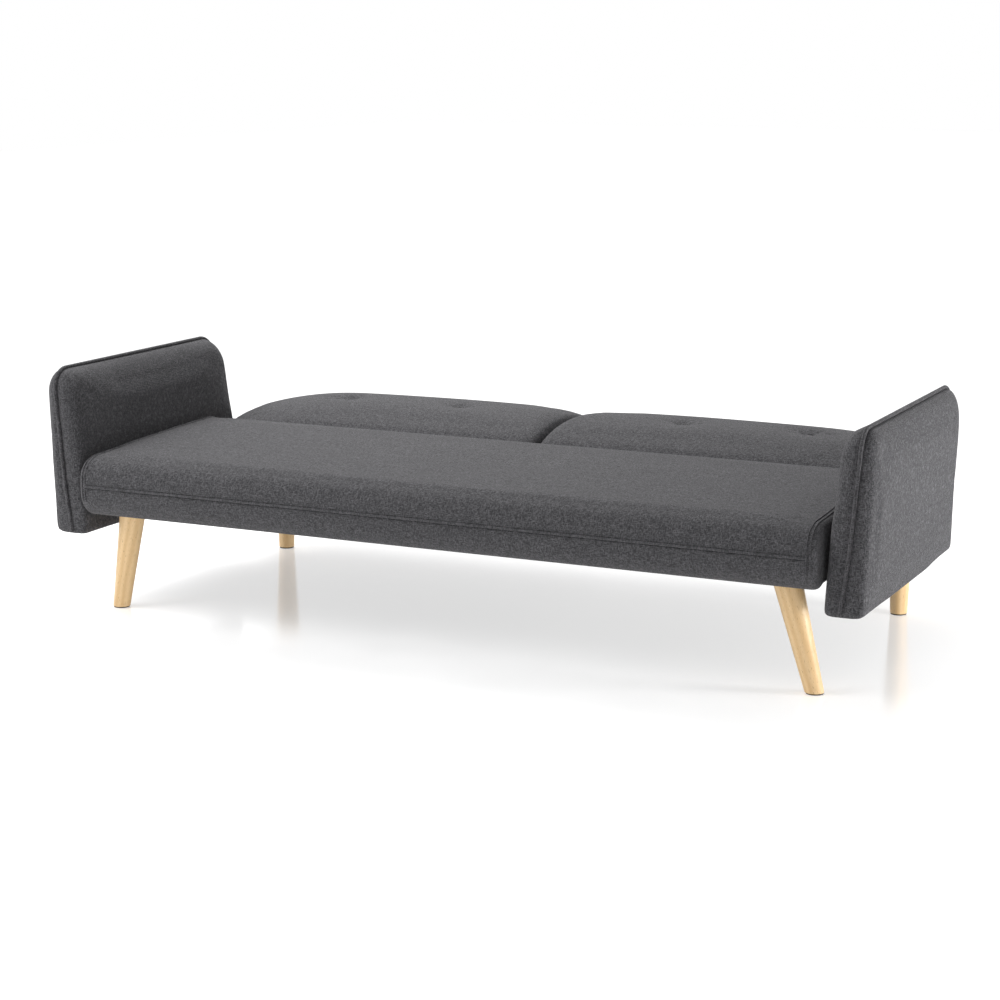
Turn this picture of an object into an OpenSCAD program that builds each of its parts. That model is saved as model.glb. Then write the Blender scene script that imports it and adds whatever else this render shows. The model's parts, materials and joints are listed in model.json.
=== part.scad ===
// Click-clack sofa bed, folded flat as a bed. Millimetres, +Z up, -Y is the seat's front.
// The origin is on the floor, under the middle of the whole bed.

/* [Seat] */
// Length of the padded seat between the arms
seat_w = 1766; // [1400:2:2200]
// Depth of the padded seat, front to rear
seat_d = 570.5; // [480:0.5:700]
// Height of the seat's underside above the floor
base_z = 236; // [180:1:320]
// Height of the seat's top at the rear
seat_top_rear = 388; // [370:1:470]
// How much lower the seat's top is at the front
seat_fall = 16; // [4:1:20]
// Radius of the seat's top front edge
seat_front_r = 52; // [30:1:60]
// Radius of the tucked-in bottom front edge
seat_tuck_r = 60; // [56:1:90]
// Height of the tucked-in part of the front
seat_tuck_h = 54; // [30:1:55]
// Radius of the edges that meet at the hinge line
crease_r = 24; // [22:1:34]

/* [Back halves] */
// Depth of a folded back half, hinge line to far edge
back_d = 470; // [380:1:560]
// Gap between the seat and a folded back half
crease_gap = 6; // [5:0.5:12]
// Gap between the two halves
half_gap = 8; // [4:1:20]
// Underside of a folded back half above the seat's underside
back_lift = 59; // [56:1:90]
// Height of the crown above a half's underside
back_t = 130; // [115:1:160]
// Radius of the crown's curve, front to rear
crown_r = 660; // [560:10:1200]
// Radius of the far top edge
far_top_r = 40; // [25:1:50]
// Radius of the far bottom edge
far_bottom_r = 30; // [10:1:40]
// Radius of the far corners, seen from above
far_corner_r = 60; // [20:1:90]
// Radius of the near corners, seen from above
near_corner_r = 12; // [6:1:20]

/* [Arms] */
// How far an arm's padding reaches behind the seat, at its longest
arm_tail = 140.5; // [110:0.5:220]
// How far an arm's front stands back from the seat's front
arm_setback = 30; // [0:1:60]
// Height of an arm's padding
arm_h = 391; // [330:1:460]
// How far an arm's padding starts below the seat's underside
arm_drop = 53; // [0:1:80]
// Thickness of an arm at its bottom
arm_bottom_t = 90; // [84:1:100]
// Outward lean of an arm's middle plane, in degrees
arm_lean = 5; // [0:0.5:8]
// How far an arm's rear edge slopes forwards to its foot, in degrees
arm_rake = -3; // [-6:1:10]
// Radius of an arm's top front corner, seen from the side
arm_front_r = 46; // [30:1:80]
// Radius of an arm's top rear corner, seen from the side
arm_rear_r = 64; // [50:1:110]
// Radius of the piping
piping_r = 4.5; // [3:0.25:6]

/* [Legs] */
// Radius of a leg at the floor
leg_foot_r = 19.5; // [14:0.5:26]
// Radius of a leg at the frame
leg_top_r = 29.5; // [22:0.5:36]
// How far a front foot stands in from the seat's end
front_foot_in = 31; // [-20:1:160]
// Distance of a front foot from the seat's front
front_foot_y = 115; // [80:1:200]
// Sideways splay of a front leg, in degrees
front_splay = 13.4; // [0:0.1:18]
// Backward slope of a front leg, in degrees
front_rake = 5.8; // [0:0.1:10]
// How far a back foot stands in from the seat's end
back_foot_in = 58; // [50:1:160]
// Height of a glide
glide_t = 3; // [2:0.5:8]

/* [Frame] */
// Thickness of the timber rails
rail_t = 22; // [18:1:30]
// Height of the front and middle rails
deck_rail_h = 79; // [60:1:100]
// Height of the side and rear rails
low_rail_h = 49; // [35:1:52]
// Height of the rails inside a back half
back_rail_h = 45; // [30:1:55]
// Length of the base behind the hinge line
tail_l = 297; // [200:1:400]
// Number of zigzag springs, an even number so that none meets the middle hinges
spring_count = 8; // [4:2:10]
// Number of bends in each zigzag spring
spring_bends = 11; // [9:2:15]
// Radius of the spring wire
wire_r = 1.9; // [1.5:0.1:2.5]
// Number of webbing strips under each back half's foam
webbing_count = 4; // [2:1:6]
// Width of a webbing strip
webbing_w = 50; // [30:1:70]

/* [Hinges] */
// Depth of the hinge pins below the seat's rear top
pivot_drop = 16; // [14:0.5:20]
// Radius of a hinge pin
pin_r = 4; // [3:0.25:5]
// Radial clearance of a hinge plate on its pin
pin_fit = 0.05; // [0.03:0.01:0.1]
// Thickness of the hinge's steel plates
plate_t = 3; // [2:0.5:4]
// Radius of a hinge plate's eye
eye_r = 9; // [8:0.5:11]
// Radius of the toothed sector
sector_r = 18; // [17:0.5:20]
// Angle of the half-raised position, in degrees
relax_angle = 45; // [30:1:60]
// Angle of the raised back, in degrees
upright_angle = 78; // [70:1:80]

/* [Covers] */
// Thickness of the upholstery fabric with its lining
cover_t = 2; // [1:0.5:4]
// Width of the stitched band
band_w = 13; // [8:1:25]
// Height of the band's upper edge above the seat's underside
band_rise = 78; // [70:1:95]
// How far the band stops short of each end
band_end = 15; // [5:1:60]
// Radius of a button
button_r = 14; // [10:0.5:20]
// Distance of the inner buttons from the middle
button_in_x = 297; // [150:1:350]
// Distance of the outer buttons from the middle
button_out_x = 607; // [450:1:750]
// Distance of the buttons from the hinge line
button_y = 221; // [120:1:300]

/* [Hidden] */

// Clearance between pieces that don't touch, and around hidden metalwork
fit = 0.3;
slack = 2;
// Steps in each arc of an outline
arc_steps = 8;
// Longer than anything that is cut through
through = 4000;

fabric = [0.29, 0.30, 0.31];
foam_colour = [0.93, 0.90, 0.78];
timber = [0.80, 0.66, 0.46];
beech = [0.87, 0.74, 0.55];
steel = [0.62, 0.64, 0.66];
dark = [0.12, 0.12, 0.13];

seat_half = seat_w / 2;
band_t = 1.5;
depth = band_t + seat_d + crease_gap + back_d;
seat_front = band_t - depth / 2;
seat_rear = seat_front + seat_d;
back_near = seat_rear + crease_gap;
back_far = back_near + back_d;
seat_top_front = seat_top_rear - seat_fall;

// Hinge line
pivot = [seat_rear + crease_gap / 2, seat_top_rear - pivot_drop];

// Timber base: the rails stand on the turned-in bottom of the cover
frame_gap = 3;
end_pad_t = 13;
front_pad_t = 31;
rear_pad_t = 10;
frame_z = base_z + frame_gap;
frame_half = seat_half - end_pad_t;
rail_x = frame_half - rail_t;
front_rail_y = seat_front + front_pad_t;
mid_rail_y = seat_rear - rear_pad_t - rail_t;
rear_rail_y = seat_rear + tail_l - rail_t;
deck_z = frame_z + deck_rail_h;
low_z = frame_z + low_rail_h;
bay_y0 = front_rail_y + rail_t;
// Gap over the deck rails that the springs lie in
spring_gap = 9;

// Gap between an arm and the seat, and between a back half and the seat's end
arm_gap = 3;

// Back halves
half_x0 = half_gap / 2;
half_x1 = seat_half - arm_gap;
back_z = base_z + back_lift;
back_frame_z = back_z + cover_t + fit;
back_deck_z = back_frame_z + back_rail_h;
// Gap between a fixed bracket and the plate that turns beside it
sector_gap = 1;
hinge_in_x = 22;
hinge_out_x = rail_x - plate_t;
stile_in_x = hinge_in_x + 2 * plate_t + sector_gap;
stile_out_x = hinge_out_x - sector_gap - plate_t - rail_t;
back_pad_t = 8;
near_rail_y = back_near + back_pad_t;
far_rail_y = back_far - far_bottom_r - rail_t - slack;
webbing_t = 2;

// Arms
arm_in_x = seat_half + arm_gap;
arm_out_x = arm_in_x + arm_bottom_t;
arm_z = base_z - arm_drop;
arm_top = arm_z + arm_h;
arm_y0 = seat_front + arm_setback;
arm_y1 = seat_rear + arm_tail;
arm_l = arm_y1 - arm_y0;
// Share of an arm's bottom that lies inside its piping line, and the line's place at the bottom and at the top
seam_share = 0.43;
arm_mid_x = arm_in_x + arm_bottom_t * seam_share;
ridge_x = arm_mid_x + arm_h * tan(arm_lean);
arm_corner_r = 9;
// Depth of the widest part below the top, and how far each face has leaned out there
knee_drop = 84;
knee_z = arm_top - knee_drop;
knee_in = 17;
knee_out = 20;
ridge_in_r = 25;
ridge_out_r = 44;
panel_t = 15;
panel_inset = 16;
batten_t = 26;
batten_h = 40;
bolt_r = 4;
bolt_z = frame_z + low_rail_h / 2;
bolt_shift = 18;
bolt_ys = [for (i = [-1:1]) arm_y0 + arm_l / 2 + bolt_shift + i * arm_l / 3];

// Steel leg plates and their bolts
plate_half = 33;
block_h = 52;
hanger_r = 4;
hanger_out = 40;
hanger_in = 28;

function polar(c, r, a) = c + r * [cos(a), sin(a)];
function arc(c, r, a0, a1) = [for (i = [0:arc_steps]) polar(c, r, a0 + (a1 - a0) * i / arc_steps)];

// Outline of the seat from the side (y, z), moved inwards by d
function seat_outline(d) =
    let (
        tuck = [seat_front + seat_tuck_r, base_z + seat_tuck_h],
        front = [seat_front + seat_front_r, seat_top_front - seat_front_r],
        rear = [seat_rear - crease_r, seat_top_rear - crease_r],
        run = rear - front,
        tangent = atan2(run[1], run[0]) + acos((seat_front_r - crease_r) / norm(run)),
        tuck_end = 180 + asin((seat_tuck_h - d) / (seat_tuck_r - d))
    )
    concat(
        [[seat_rear - d, base_z + d]],
        arc(tuck, seat_tuck_r - d, tuck_end, 180),
        arc(front, seat_front_r - d, 180, tangent),
        arc(rear, crease_r - d, tangent, 0)
    );

// Outline of a back half from the side (y, z), moved inwards by d: its crown is one large arc
function back_outline(d) =
    let (
        crown = [back_near + back_d / 2, back_z + back_t - crown_r],
        near_y = back_near + crease_r,
        far_y = back_far - far_top_r,
        near_run = crown_r - crease_r,
        far_run = crown_r - far_top_r,
        near = [near_y, crown[1] + sqrt(pow(near_run, 2) - pow(near_y - crown[0], 2))],
        far = [far_y, crown[1] + sqrt(pow(far_run, 2) - pow(far_y - crown[0], 2))],
        near_a = atan2(near[1] - crown[1], near[0] - crown[0]),
        far_a = atan2(far[1] - crown[1], far[0] - crown[0])
    )
    concat(
        [[back_near + d, back_z + d]],
        arc(near, crease_r - d, 180, near_a),
        arc(crown, crown_r - d, near_a, far_a),
        arc(far, far_top_r - d, far_a, 0),
        arc([back_far - far_bottom_r, back_z + far_bottom_r], far_bottom_r - d, 0, -90)
    );

// Outline of a back half from above (x, y), moved inwards by d
function back_plan(d) = concat(
    arc([half_x0 + near_corner_r, back_near + near_corner_r], near_corner_r - d, 180, 270),
    arc([half_x1 - near_corner_r, back_near + near_corner_r], near_corner_r - d, 270, 360),
    arc([half_x1 - far_corner_r, back_far - far_corner_r], far_corner_r - d, 0, 90),
    arc([half_x0 + far_corner_r, back_far - far_corner_r], far_corner_r - d, 90, 180)
);

// What is left of an arm's small corner radius, moved inwards by d
function corner_left(d) = max(arm_corner_r - d, 1);

// Outline of an arm from the side (y, z), moved inwards by d
function arm_outline(d) =
    let (
        front = [arm_y0 + arm_front_r, arm_top - arm_front_r],
        rear = [arm_y1 - arm_rear_r, arm_top - arm_rear_r],
        edge = polar(rear, arm_rear_r - arm_corner_r, -arm_rake),
        foot_z = arm_z + arm_corner_r,
        foot_y = edge[0] - (edge[1] - foot_z) * tan(arm_rake)
    )
    concat(
        arc([arm_y0 + arm_corner_r, foot_z], corner_left(d), 270, 180),
        arc(front, arm_front_r - d, 180, 90),
        arc(rear, arm_rear_r - d, 90, -arm_rake),
        arc([foot_y, foot_z], corner_left(d), -arm_rake, -90)
    );

// Section of an arm from the front (x, z), moved inwards by d
function arm_section(d) = concat(
    arc([arm_in_x + arm_corner_r, arm_z + arm_corner_r], corner_left(d), 270, 180),
    [[arm_in_x + knee_in + d, knee_z]],
    arc([ridge_x, arm_top - ridge_in_r], ridge_in_r - d, 155, 90),
    arc([arm_out_x + knee_out - ridge_out_r, arm_top - ridge_out_r], ridge_out_r - d, 68, 0),
    [[arm_out_x + knee_out - d, knee_z]],
    arc([arm_out_x - arm_corner_r, arm_z + arm_corner_r], corner_left(d), 0, -90)
);

// A (y, z) outline drawn out along X, and an (x, z) outline along Y
module along_x(x0, x1) {
    translate([x0, 0, 0])
        rotate([90, 0, 90])
            linear_extrude(x1 - x0) children();
}

module along_y(y0, y1) {
    translate([0, y1, 0])
        rotate([90, 0, 0])
            linear_extrude(y1 - y0) children();
}

// A box between two corners
module block(low, high) {
    translate(low) cube(high - low);
}

// A round bar along X
module bar_x(x0, x1, yz, r) {
    translate([x0, yz[0], yz[1]])
        rotate([0, 90, 0]) cylinder(r = r, h = x1 - x0, $fn = 48);
}

module left() {
    mirror([1, 0, 0]) children();
}

module both() {
    children();
    mirror([1, 0, 0]) children();
}

// A flat bar between two points of an outline, and one with round ends
module strip(a, b, r) {
    side = r * [b[1] - a[1], a[0] - b[0]] / norm(b - a);
    polygon([a + side, b + side, b - side, a - side]);
}

module link(a, b, r) {
    translate(a) circle(r = r, $fn = 48);
    translate(b) circle(r = r, $fn = 48);
    strip(a, b, r);
}

/* ---- timber base ---- */

module front_rail() {
    color(timber)
        block([-frame_half, front_rail_y, frame_z], [frame_half, bay_y0, deck_z]);
}

module mid_rail() {
    color(timber)
        difference() {
            block([-rail_x, mid_rail_y, frame_z], [rail_x, mid_rail_y + rail_t, deck_z]);
            bracket_screw_places() cylinder(r = screw_r, h = screw_l, $fn = 24);
        }
}

module rear_rail() {
    color(timber)
        block([-frame_half, rear_rail_y, frame_z], [frame_half, rear_rail_y + rail_t, low_z]);
}

module side_rail() {
    color(timber)
        difference() {
            block([rail_x, bay_y0, frame_z], [frame_half, rear_rail_y, low_z]);
            for (y = bolt_ys)
                bar_x(0, through, [y, bolt_z], bolt_r + fit);
        }
}

module seat_stretcher() {
    color(timber)
        block([-rail_t / 2, bay_y0, frame_z], [rail_t / 2, mid_rail_y, low_z]);
}

module rear_stretcher() {
    color(timber)
        block([-rail_t / 2, mid_rail_y + rail_t, frame_z], [rail_t / 2, rear_rail_y, low_z]);
}

/* ---- legs ---- */

// Middle of each foot on the floor, right side
back_foot_inset = 13;
front_foot = [seat_half - front_foot_in, seat_front + front_foot_y, 0];
back_foot = [seat_half - back_foot_in, rear_rail_y - back_foot_inset, 0];

// Stands an upright piece on a foot and leans it: the front legs lean in towards their tops
module on_front_foot() {
    shift = [-tan(front_splay), -tan(front_rake)];
    translate(front_foot)
        rotate([0, 0, atan2(shift[1], shift[0])])
            rotate([0, atan(norm(shift)), 0]) children();
}

module on_back_foot() {
    translate(back_foot) children();
}

front_stretch = 1 / cos(atan(norm([tan(front_splay), tan(front_rake)])));

// A turned taper that starts below the floor and ends above the frame, to be cut level
module taper(stretch) {
    grow = (leg_top_r - leg_foot_r) / base_z;
    below = 20;
    length = (base_z + below) * stretch;
    translate([0, 0, -below])
        cylinder(r1 = leg_foot_r - grow * below, r2 = leg_foot_r - grow * below + grow * length, h = length,
                 $fn = 64);
}

module hanger(stretch, r) {
    translate([0, 0, base_z * stretch - hanger_in])
        cylinder(r = r, h = hanger_in + hanger_out, $fn = 32);
}

module front_leg() {
    color(beech)
        intersection() {
            on_front_foot()
                difference() {
                    taper(front_stretch);
                    hanger(front_stretch, hanger_r);
                }
            block([0, -through, glide_t], [through, through, base_z]);
        }
}

module back_leg() {
    color(beech)
        intersection() {
            on_back_foot()
                difference() {
                    taper(1);
                    hanger(1, hanger_r);
                }
            block([0, -through, glide_t], [through, through, base_z]);
        }
}

module leg_bolts() {
    color(steel)
        both() {
            on_front_foot() hanger(front_stretch, hanger_r);
            on_back_foot() hanger(1, hanger_r);
        }
}

module leg_glides() {
    color(dark)
        both()
            for (foot = [front_foot, back_foot])
                translate(foot) cylinder(r = leg_foot_r - 1, h = glide_t, $fn = 48);
}

front_top = [
    front_foot[0] - base_z * tan(front_splay), front_foot[1] - base_z * tan(front_rake)
];

module leg_plates() {
    color(steel)
        both()
            difference() {
                union() {
                    block([front_top[0] - plate_half, front_top[1] - plate_half, base_z],
                          [front_top[0] + plate_half, front_top[1] + plate_half, frame_z]);
                    block([back_foot[0] - plate_half, back_foot[1] - plate_half, base_z],
                          [back_foot[0] + plate_half, back_foot[1] + plate_half, frame_z]);
                }
                on_front_foot() hanger(front_stretch, hanger_r);
                on_back_foot() hanger(1, hanger_r);
            }
}

// Blocks in the corners of the frame, over the leg plates
module corner_blocks() {
    color(timber)
        both()
            difference() {
                union() {
                    block([front_top[0] - plate_half, bay_y0, frame_z],
                          [rail_x, front_top[1] + plate_half, frame_z + block_h]);
                    block([back_foot[0] - plate_half - rail_t, back_foot[1] - plate_half - rail_t, frame_z],
                          [rail_x, rear_rail_y, low_z]);
                }
                on_front_foot() hanger(front_stretch, hanger_r);
                on_back_foot() hanger(1, hanger_r);
            }
}

/* ---- seat ---- */

spring_lift = 1;
spring_hold = 10;
spring_margin = 85;
clip_w = 14;
spring_z = deck_z + wire_r + spring_lift;
spring_y0 = bay_y0 - spring_hold;
spring_y1 = mid_rail_y + spring_hold;
spring_pitch = (spring_y1 - spring_y0) / (spring_bends + 1);
spring_xs = [
    for (i = [0:spring_count - 1]) (rail_x - spring_margin) * (2 * i / (spring_count - 1) - 1)
];

// One zigzag spring seen from above: straight runs along X joined by half turns
module zigzag() {
    bend = spring_pitch / 2;
    run = clip_w / 2 + wire_r + spring_lift;
    for (i = [0:spring_bends + 1])
        translate([-run, spring_y0 + i * spring_pitch - wire_r]) square([2 * run, 2 * wire_r]);
    for (i = [0:spring_bends])
        translate([i % 2 == 0 ? run : -run, spring_y0 + (i + 0.5) * spring_pitch])
            mirror([i % 2, 0])
                intersection() {
                    difference() {
                        circle(r = bend + wire_r, $fn = 48);
                        circle(r = bend - wire_r, $fn = 48);
                    }
                    translate([0, -2 * bend]) square(4 * bend);
                }
}

module seat_springs() {
    color(steel)
        for (x = spring_xs)
            translate([x, 0, spring_z - wire_r]) linear_extrude(2 * wire_r) zigzag();
}

module spring_clips() {
    clip = [clip_w, 8, 2 * (wire_r + spring_lift)];
    color(steel)
        for (x = spring_xs, y = [spring_y0, spring_y1])
            translate([x, y, deck_z])
                difference() {
                    translate([-clip[0] / 2, -clip[1] / 2, 0]) cube(clip);
                    translate([-clip[0], -wire_r, spring_z - deck_z - wire_r])
                        cube([2 * clip[0], 2 * wire_r, 2 * wire_r]);
                }
}

module seat_solid(d) {
    along_x(-seat_half + d, seat_half - d) polygon(seat_outline(d));
}

// Room for the hinge's bracket, sector and pawl in the seat's rear edge
module hinge_pockets() {
    for (x = [hinge_in_x, hinge_out_x]) {
        x0 = x - plate_t - sector_gap - slack;
        x1 = x + 2 * plate_t + sector_gap + slack;
        bar_x(x0, x1, pivot, sector_r + slack);
        block([x0, mid_rail_y - slack, deck_z - slack], [x1, seat_rear + 1, pivot[1]]);
    }
}

// The frame, the springs and the bay between them, under the seat foam
module seat_bay() {
    block([-frame_half - fit, front_rail_y - fit, 0],
          [frame_half + fit, seat_rear - cover_t - fit, deck_z + spring_gap]);
}

module seat_foam() {
    color(foam_colour)
        difference() {
            seat_solid(cover_t + fit);
            seat_bay();
            both() hinge_pockets();
            both() arm_bolt_holes(slack);
        }
}

module seat_cover() {
    color(fabric)
        difference() {
            seat_solid(0);
            seat_solid(cover_t);
            block([-frame_half - fit, front_rail_y - fit, 0],
                  [frame_half + fit, seat_rear + 1, low_z + fit]);
            both() hinge_pockets();
            both() arm_bolt_holes(slack);
        }
}

module seat_band() {
    color(fabric)
        block([-seat_half + band_end, seat_front - band_t, base_z + band_rise - band_w],
              [seat_half - band_end, seat_front, base_z + band_rise]);
}

// Fabric over the rear part of the base, open underneath
module base_cover() {
    outer = frame_half + cover_t + fit;
    rear = rear_rail_y + rail_t + cover_t + fit;
    color(fabric)
        difference() {
            block([-outer, seat_rear + fit, base_z], [outer, rear, low_z + cover_t]);
            block([-outer + cover_t, 0, 0], [outer - cover_t, rear - cover_t, low_z]);
            both() arm_bolt_holes(slack);
        }
}

// Thin cloth stretched under the frame, with room for the leg plates
module dust_cloth() {
    color(dark)
        difference() {
            block([-frame_half + slack, front_rail_y + slack, frame_z - 1],
                  [frame_half - slack, rear_rail_y + rail_t - slack, frame_z]);
            both()
                for (p = [front_top, back_foot])
                    block([p[0] - plate_half - fit, p[1] - plate_half - fit, 0],
                          [p[0] + plate_half + fit, p[1] + plate_half + fit, frame_z + 1]);
        }
}

stop_r = 14;

module back_stops() {
    color(dark)
        both()
            for (x = [stile_in_x + rail_t / 2, rail_x - rail_t])
                translate([x, rear_rail_y + rail_t / 2, low_z + cover_t])
                    cylinder(r = stop_r, h = back_z - fit - low_z - cover_t, $fn = 48);
}

/* ---- hinges ---- */

screw_r = 2.5;
screw_l = 24;
screw_pitch = 10;
flange_w = 30;
web_r = 6;
pawl_pin_r = 2.5;
pawl_eye_r = 5.5;
pawl_arm = 20;
pawl_shank_r = 2.8;
pawl_clear = 1.5;
tooth_w = 4;
notch_deep = 5;
// How far the toothed sector reaches past its end notches, in degrees
sector_lap = 14;
// How much wider a plate is where it is screwed on than at its eye
tang_more = 3;
// The pawl's tip lies in this direction from the hinge pin, in degrees
pawl_dir = 250;
pawl_tip = polar(pivot, sector_r + pawl_clear, pawl_dir);
pawl_pivot = polar(pawl_tip, pawl_arm, pawl_dir - 90);

// Screws through a bracket's flange, into the middle rail
module bracket_screw_places() {
    both()
        for (x = [hinge_in_x + plate_t + screw_pitch, hinge_out_x - screw_pitch], s = [0, screw_pitch])
            translate([x + (x > rail_x / 2 ? -s : s), mid_rail_y + rail_t / 2, deck_z + plate_t - screw_l])
                children();
}

// Outline of a bracket's upright web (y, z)
module web_outline(with_pawl) {
    foot = [mid_rail_y + rail_t / 2, deck_z + web_r];
    translate(pivot) circle(r = eye_r, $fn = 48);
    strip(foot, pivot, web_r);
    if (with_pawl) {
        translate(pawl_pivot) circle(r = pawl_eye_r, $fn = 48);
        strip(foot, pawl_pivot, pawl_eye_r - 1);
    }
    translate([mid_rail_y, deck_z]) square([rail_t, 2 * web_r]);
}

module bracket(x, flange_x, with_pawl) {
    difference() {
        union() {
            along_x(x, x + plate_t) web_outline(with_pawl);
            block([flange_x, mid_rail_y, deck_z],
                  [flange_x + flange_w, mid_rail_y + rail_t, deck_z + plate_t]);
        }
        bar_x(x - 1, x + plate_t + 1, pivot, pin_r);
        if (with_pawl)
            bar_x(x - 1, x + plate_t + 1, pawl_pivot, pawl_pin_r);
        bracket_screw_places() cylinder(r = screw_r, h = screw_l, $fn = 24);
    }
}

module hinge_brackets() {
    color(steel)
        both() {
            bracket(hinge_in_x, hinge_in_x + plate_t, false);
            bracket(hinge_out_x, hinge_out_x - flange_w, true);
        }
}

module bracket_screws() {
    head_h = 2;
    color(steel)
        bracket_screw_places() {
            cylinder(r = screw_r, h = screw_l, $fn = 24);
            translate([0, 0, screw_l]) cylinder(r = 1.6 * screw_r, h = head_h, $fn = 24);
        }
}

// A riveted pin along X through the plates between x0 and x1
module rivet(x0, x1, yz, r) {
    head = 1.5;
    bar_x(x0 - fit, x1 + fit, yz, r);
    bar_x(x0 - fit - head, x0 - fit, yz, r + head);
    bar_x(x1 + fit, x1 + fit + head, yz, r + head);
}

module hinge_pins() {
    color(steel)
        both() {
            rivet(hinge_in_x, hinge_in_x + 2 * plate_t + sector_gap, pivot, pin_r);
            rivet(hinge_out_x - plate_t - sector_gap, hinge_out_x + plate_t, pivot, pin_r);
        }
}

module pawl_pins() {
    color(steel)
        both() rivet(hinge_out_x - plate_t - sector_gap, hinge_out_x + plate_t, pawl_pivot, pawl_pin_r);
}

// A lever from its pin to a tooth that points at the hinge pin
module pawl() {
    heel = polar(pawl_tip, notch_deep + pawl_clear, pawl_dir);
    elbow = heel + (heel - pawl_pivot) * tooth_w / pawl_arm;
    color(steel)
        along_x(hinge_out_x - plate_t - sector_gap, hinge_out_x - sector_gap)
            difference() {
                union() {
                    translate(pawl_pivot) circle(r = pawl_eye_r, $fn = 48);
                    strip(pawl_pivot, elbow, pawl_shank_r);
                    strip(heel, pawl_tip, tooth_w / 2);
                }
                translate(pawl_pivot) circle(r = pawl_pin_r + pin_fit, $fn = 48);
            }
}

back_plate_reach = 90;

// Outline of a back half's hinge plate (y, z), with or without the toothed sector
module plate_outline(toothed) {
    shank = [near_rail_y + rail_t, back_frame_z + back_rail_h / 2];
    difference() {
        union() {
            translate(pivot) circle(r = eye_r, $fn = 48);
            link(pivot, shank, eye_r);
            link(shank, shank + [back_plate_reach, 0], eye_r + tang_more);
            if (toothed)
                intersection() {
                    translate(pivot) circle(r = sector_r, $fn = 96);
                    polygon(concat([pivot], [
                        for (a = [-upright_angle - sector_lap, -relax_angle, sector_lap])
                            polar(pivot, 2 * sector_r, pawl_dir + a)
                    ]));
                }
        }
        translate(pivot) circle(r = pin_r + pin_fit, $fn = 48);
        if (toothed)
            for (a = [0, relax_angle, upright_angle])
                translate(pivot)
                    rotate(pawl_dir - a)
                        translate([sector_r - notch_deep, -tooth_w / 2 - 1]) square([sector_r, tooth_w + 2]);
        for (s = [20, back_plate_reach - 5])
            translate(shank + [s, 0]) circle(r = screw_r, $fn = 24);
    }
}

module back_hinge_plates() {
    color(steel) {
        along_x(hinge_in_x + plate_t + sector_gap, stile_in_x) plate_outline(false);
        along_x(hinge_out_x - plate_t - sector_gap, hinge_out_x - sector_gap) plate_outline(true);
    }
}

/* ---- a back half, right side ---- */

module back_near_rail() {
    color(timber)
        block([stile_in_x, near_rail_y, back_frame_z],
              [stile_out_x + rail_t, near_rail_y + rail_t, back_deck_z]);
}

module back_far_rail() {
    color(timber)
        block([stile_in_x, far_rail_y, back_frame_z],
              [stile_out_x + rail_t, far_rail_y + rail_t, back_deck_z]);
}

module back_stile(x) {
    color(timber)
        block([x, near_rail_y + rail_t, back_frame_z], [x + rail_t, far_rail_y, back_deck_z]);
}

// Elastic strips over the frame, near rail to far rail
module back_webbing() {
    span = stile_out_x - stile_in_x;
    color(dark)
        for (i = [1:webbing_count])
            translate([stile_in_x + span * i / (webbing_count + 1) + (rail_t - webbing_w) / 2,
                       near_rail_y, back_deck_z])
                cube([webbing_w, far_rail_y + rail_t - near_rail_y, webbing_t]);
}

module back_solid(d) {
    intersection() {
        along_x(half_x0, half_x1) polygon(back_outline(d));
        linear_extrude(through) polygon(back_plan(d));
    }
}

// Room for the hinge plates, and for the fixed brackets that they turn beside
module back_hinge_rooms(gap) {
    for (x = [hinge_in_x, hinge_out_x - plate_t - sector_gap])
        bar_x(x - gap - 2, x + 2 * plate_t + sector_gap + gap + 2, pivot, eye_r + gap);
    along_x(hinge_in_x + plate_t + sector_gap - gap, stile_in_x + gap) plate_room();
    along_x(stile_out_x + rail_t - gap, hinge_out_x - sector_gap + gap) plate_room();
}

module plate_room() {
    shank = [near_rail_y + rail_t, back_frame_z + back_rail_h / 2];
    link(pivot, shank, eye_r + 1);
    link(shank, shank + [back_plate_reach, 0], eye_r + tang_more + 1);
    intersection() {
        translate(pivot) circle(r = sector_r + 1, $fn = 96);
        polygon([for (a = [0, 90, 180, 270]) polar(pivot, 2 * sector_r, a + pawl_dir)]);
    }
}

button_sink = 6;

module button_holes(r, low) {
    for (x = [button_in_x, button_out_x])
        translate([x, back_near + button_y, low]) cylinder(r = r, h = through, $fn = 48);
}

button_shank_r = 2.5;
button_h = 9;
button_z = back_z + back_t - button_sink - button_h;

module back_foam() {
    color(foam_colour)
        difference() {
            back_solid(cover_t + fit);
            block([stile_in_x - fit, near_rail_y - fit, 0],
                  [stile_out_x + rail_t + fit, far_rail_y + rail_t + fit, back_deck_z + webbing_t + fit]);
            back_hinge_rooms(1);
            button_holes(button_r + 1, button_z);
            button_holes(button_shank_r, back_deck_z);
        }
}

module back_cover() {
    color(fabric)
        difference() {
            back_solid(0);
            back_solid(cover_t);
            back_hinge_rooms(1);
            button_holes(button_r + 1, button_z);
        }
}

// Covered buttons: a domed head on a tufting shank that is tied under the foam
module back_buttons() {
    dome_r = 2 * button_r;
    rim = 3;
    color(fabric)
        for (x = [button_in_x, button_out_x])
            translate([x, back_near + button_y, button_z]) {
                cylinder(r = button_r, h = rim, $fn = 48);
                intersection() {
                    translate([0, 0, button_h - dome_r]) sphere(r = dome_r, $fn = 64);
                    cylinder(r = button_r, h = button_h, $fn = 48);
                }
                translate([0, 0, -button_z + back_deck_z + webbing_t + fit])
                    cylinder(r = button_shank_r, h = button_z - back_deck_z - webbing_t - fit, $fn = 24);
            }
}

/* ---- an arm, right side ---- */

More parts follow.
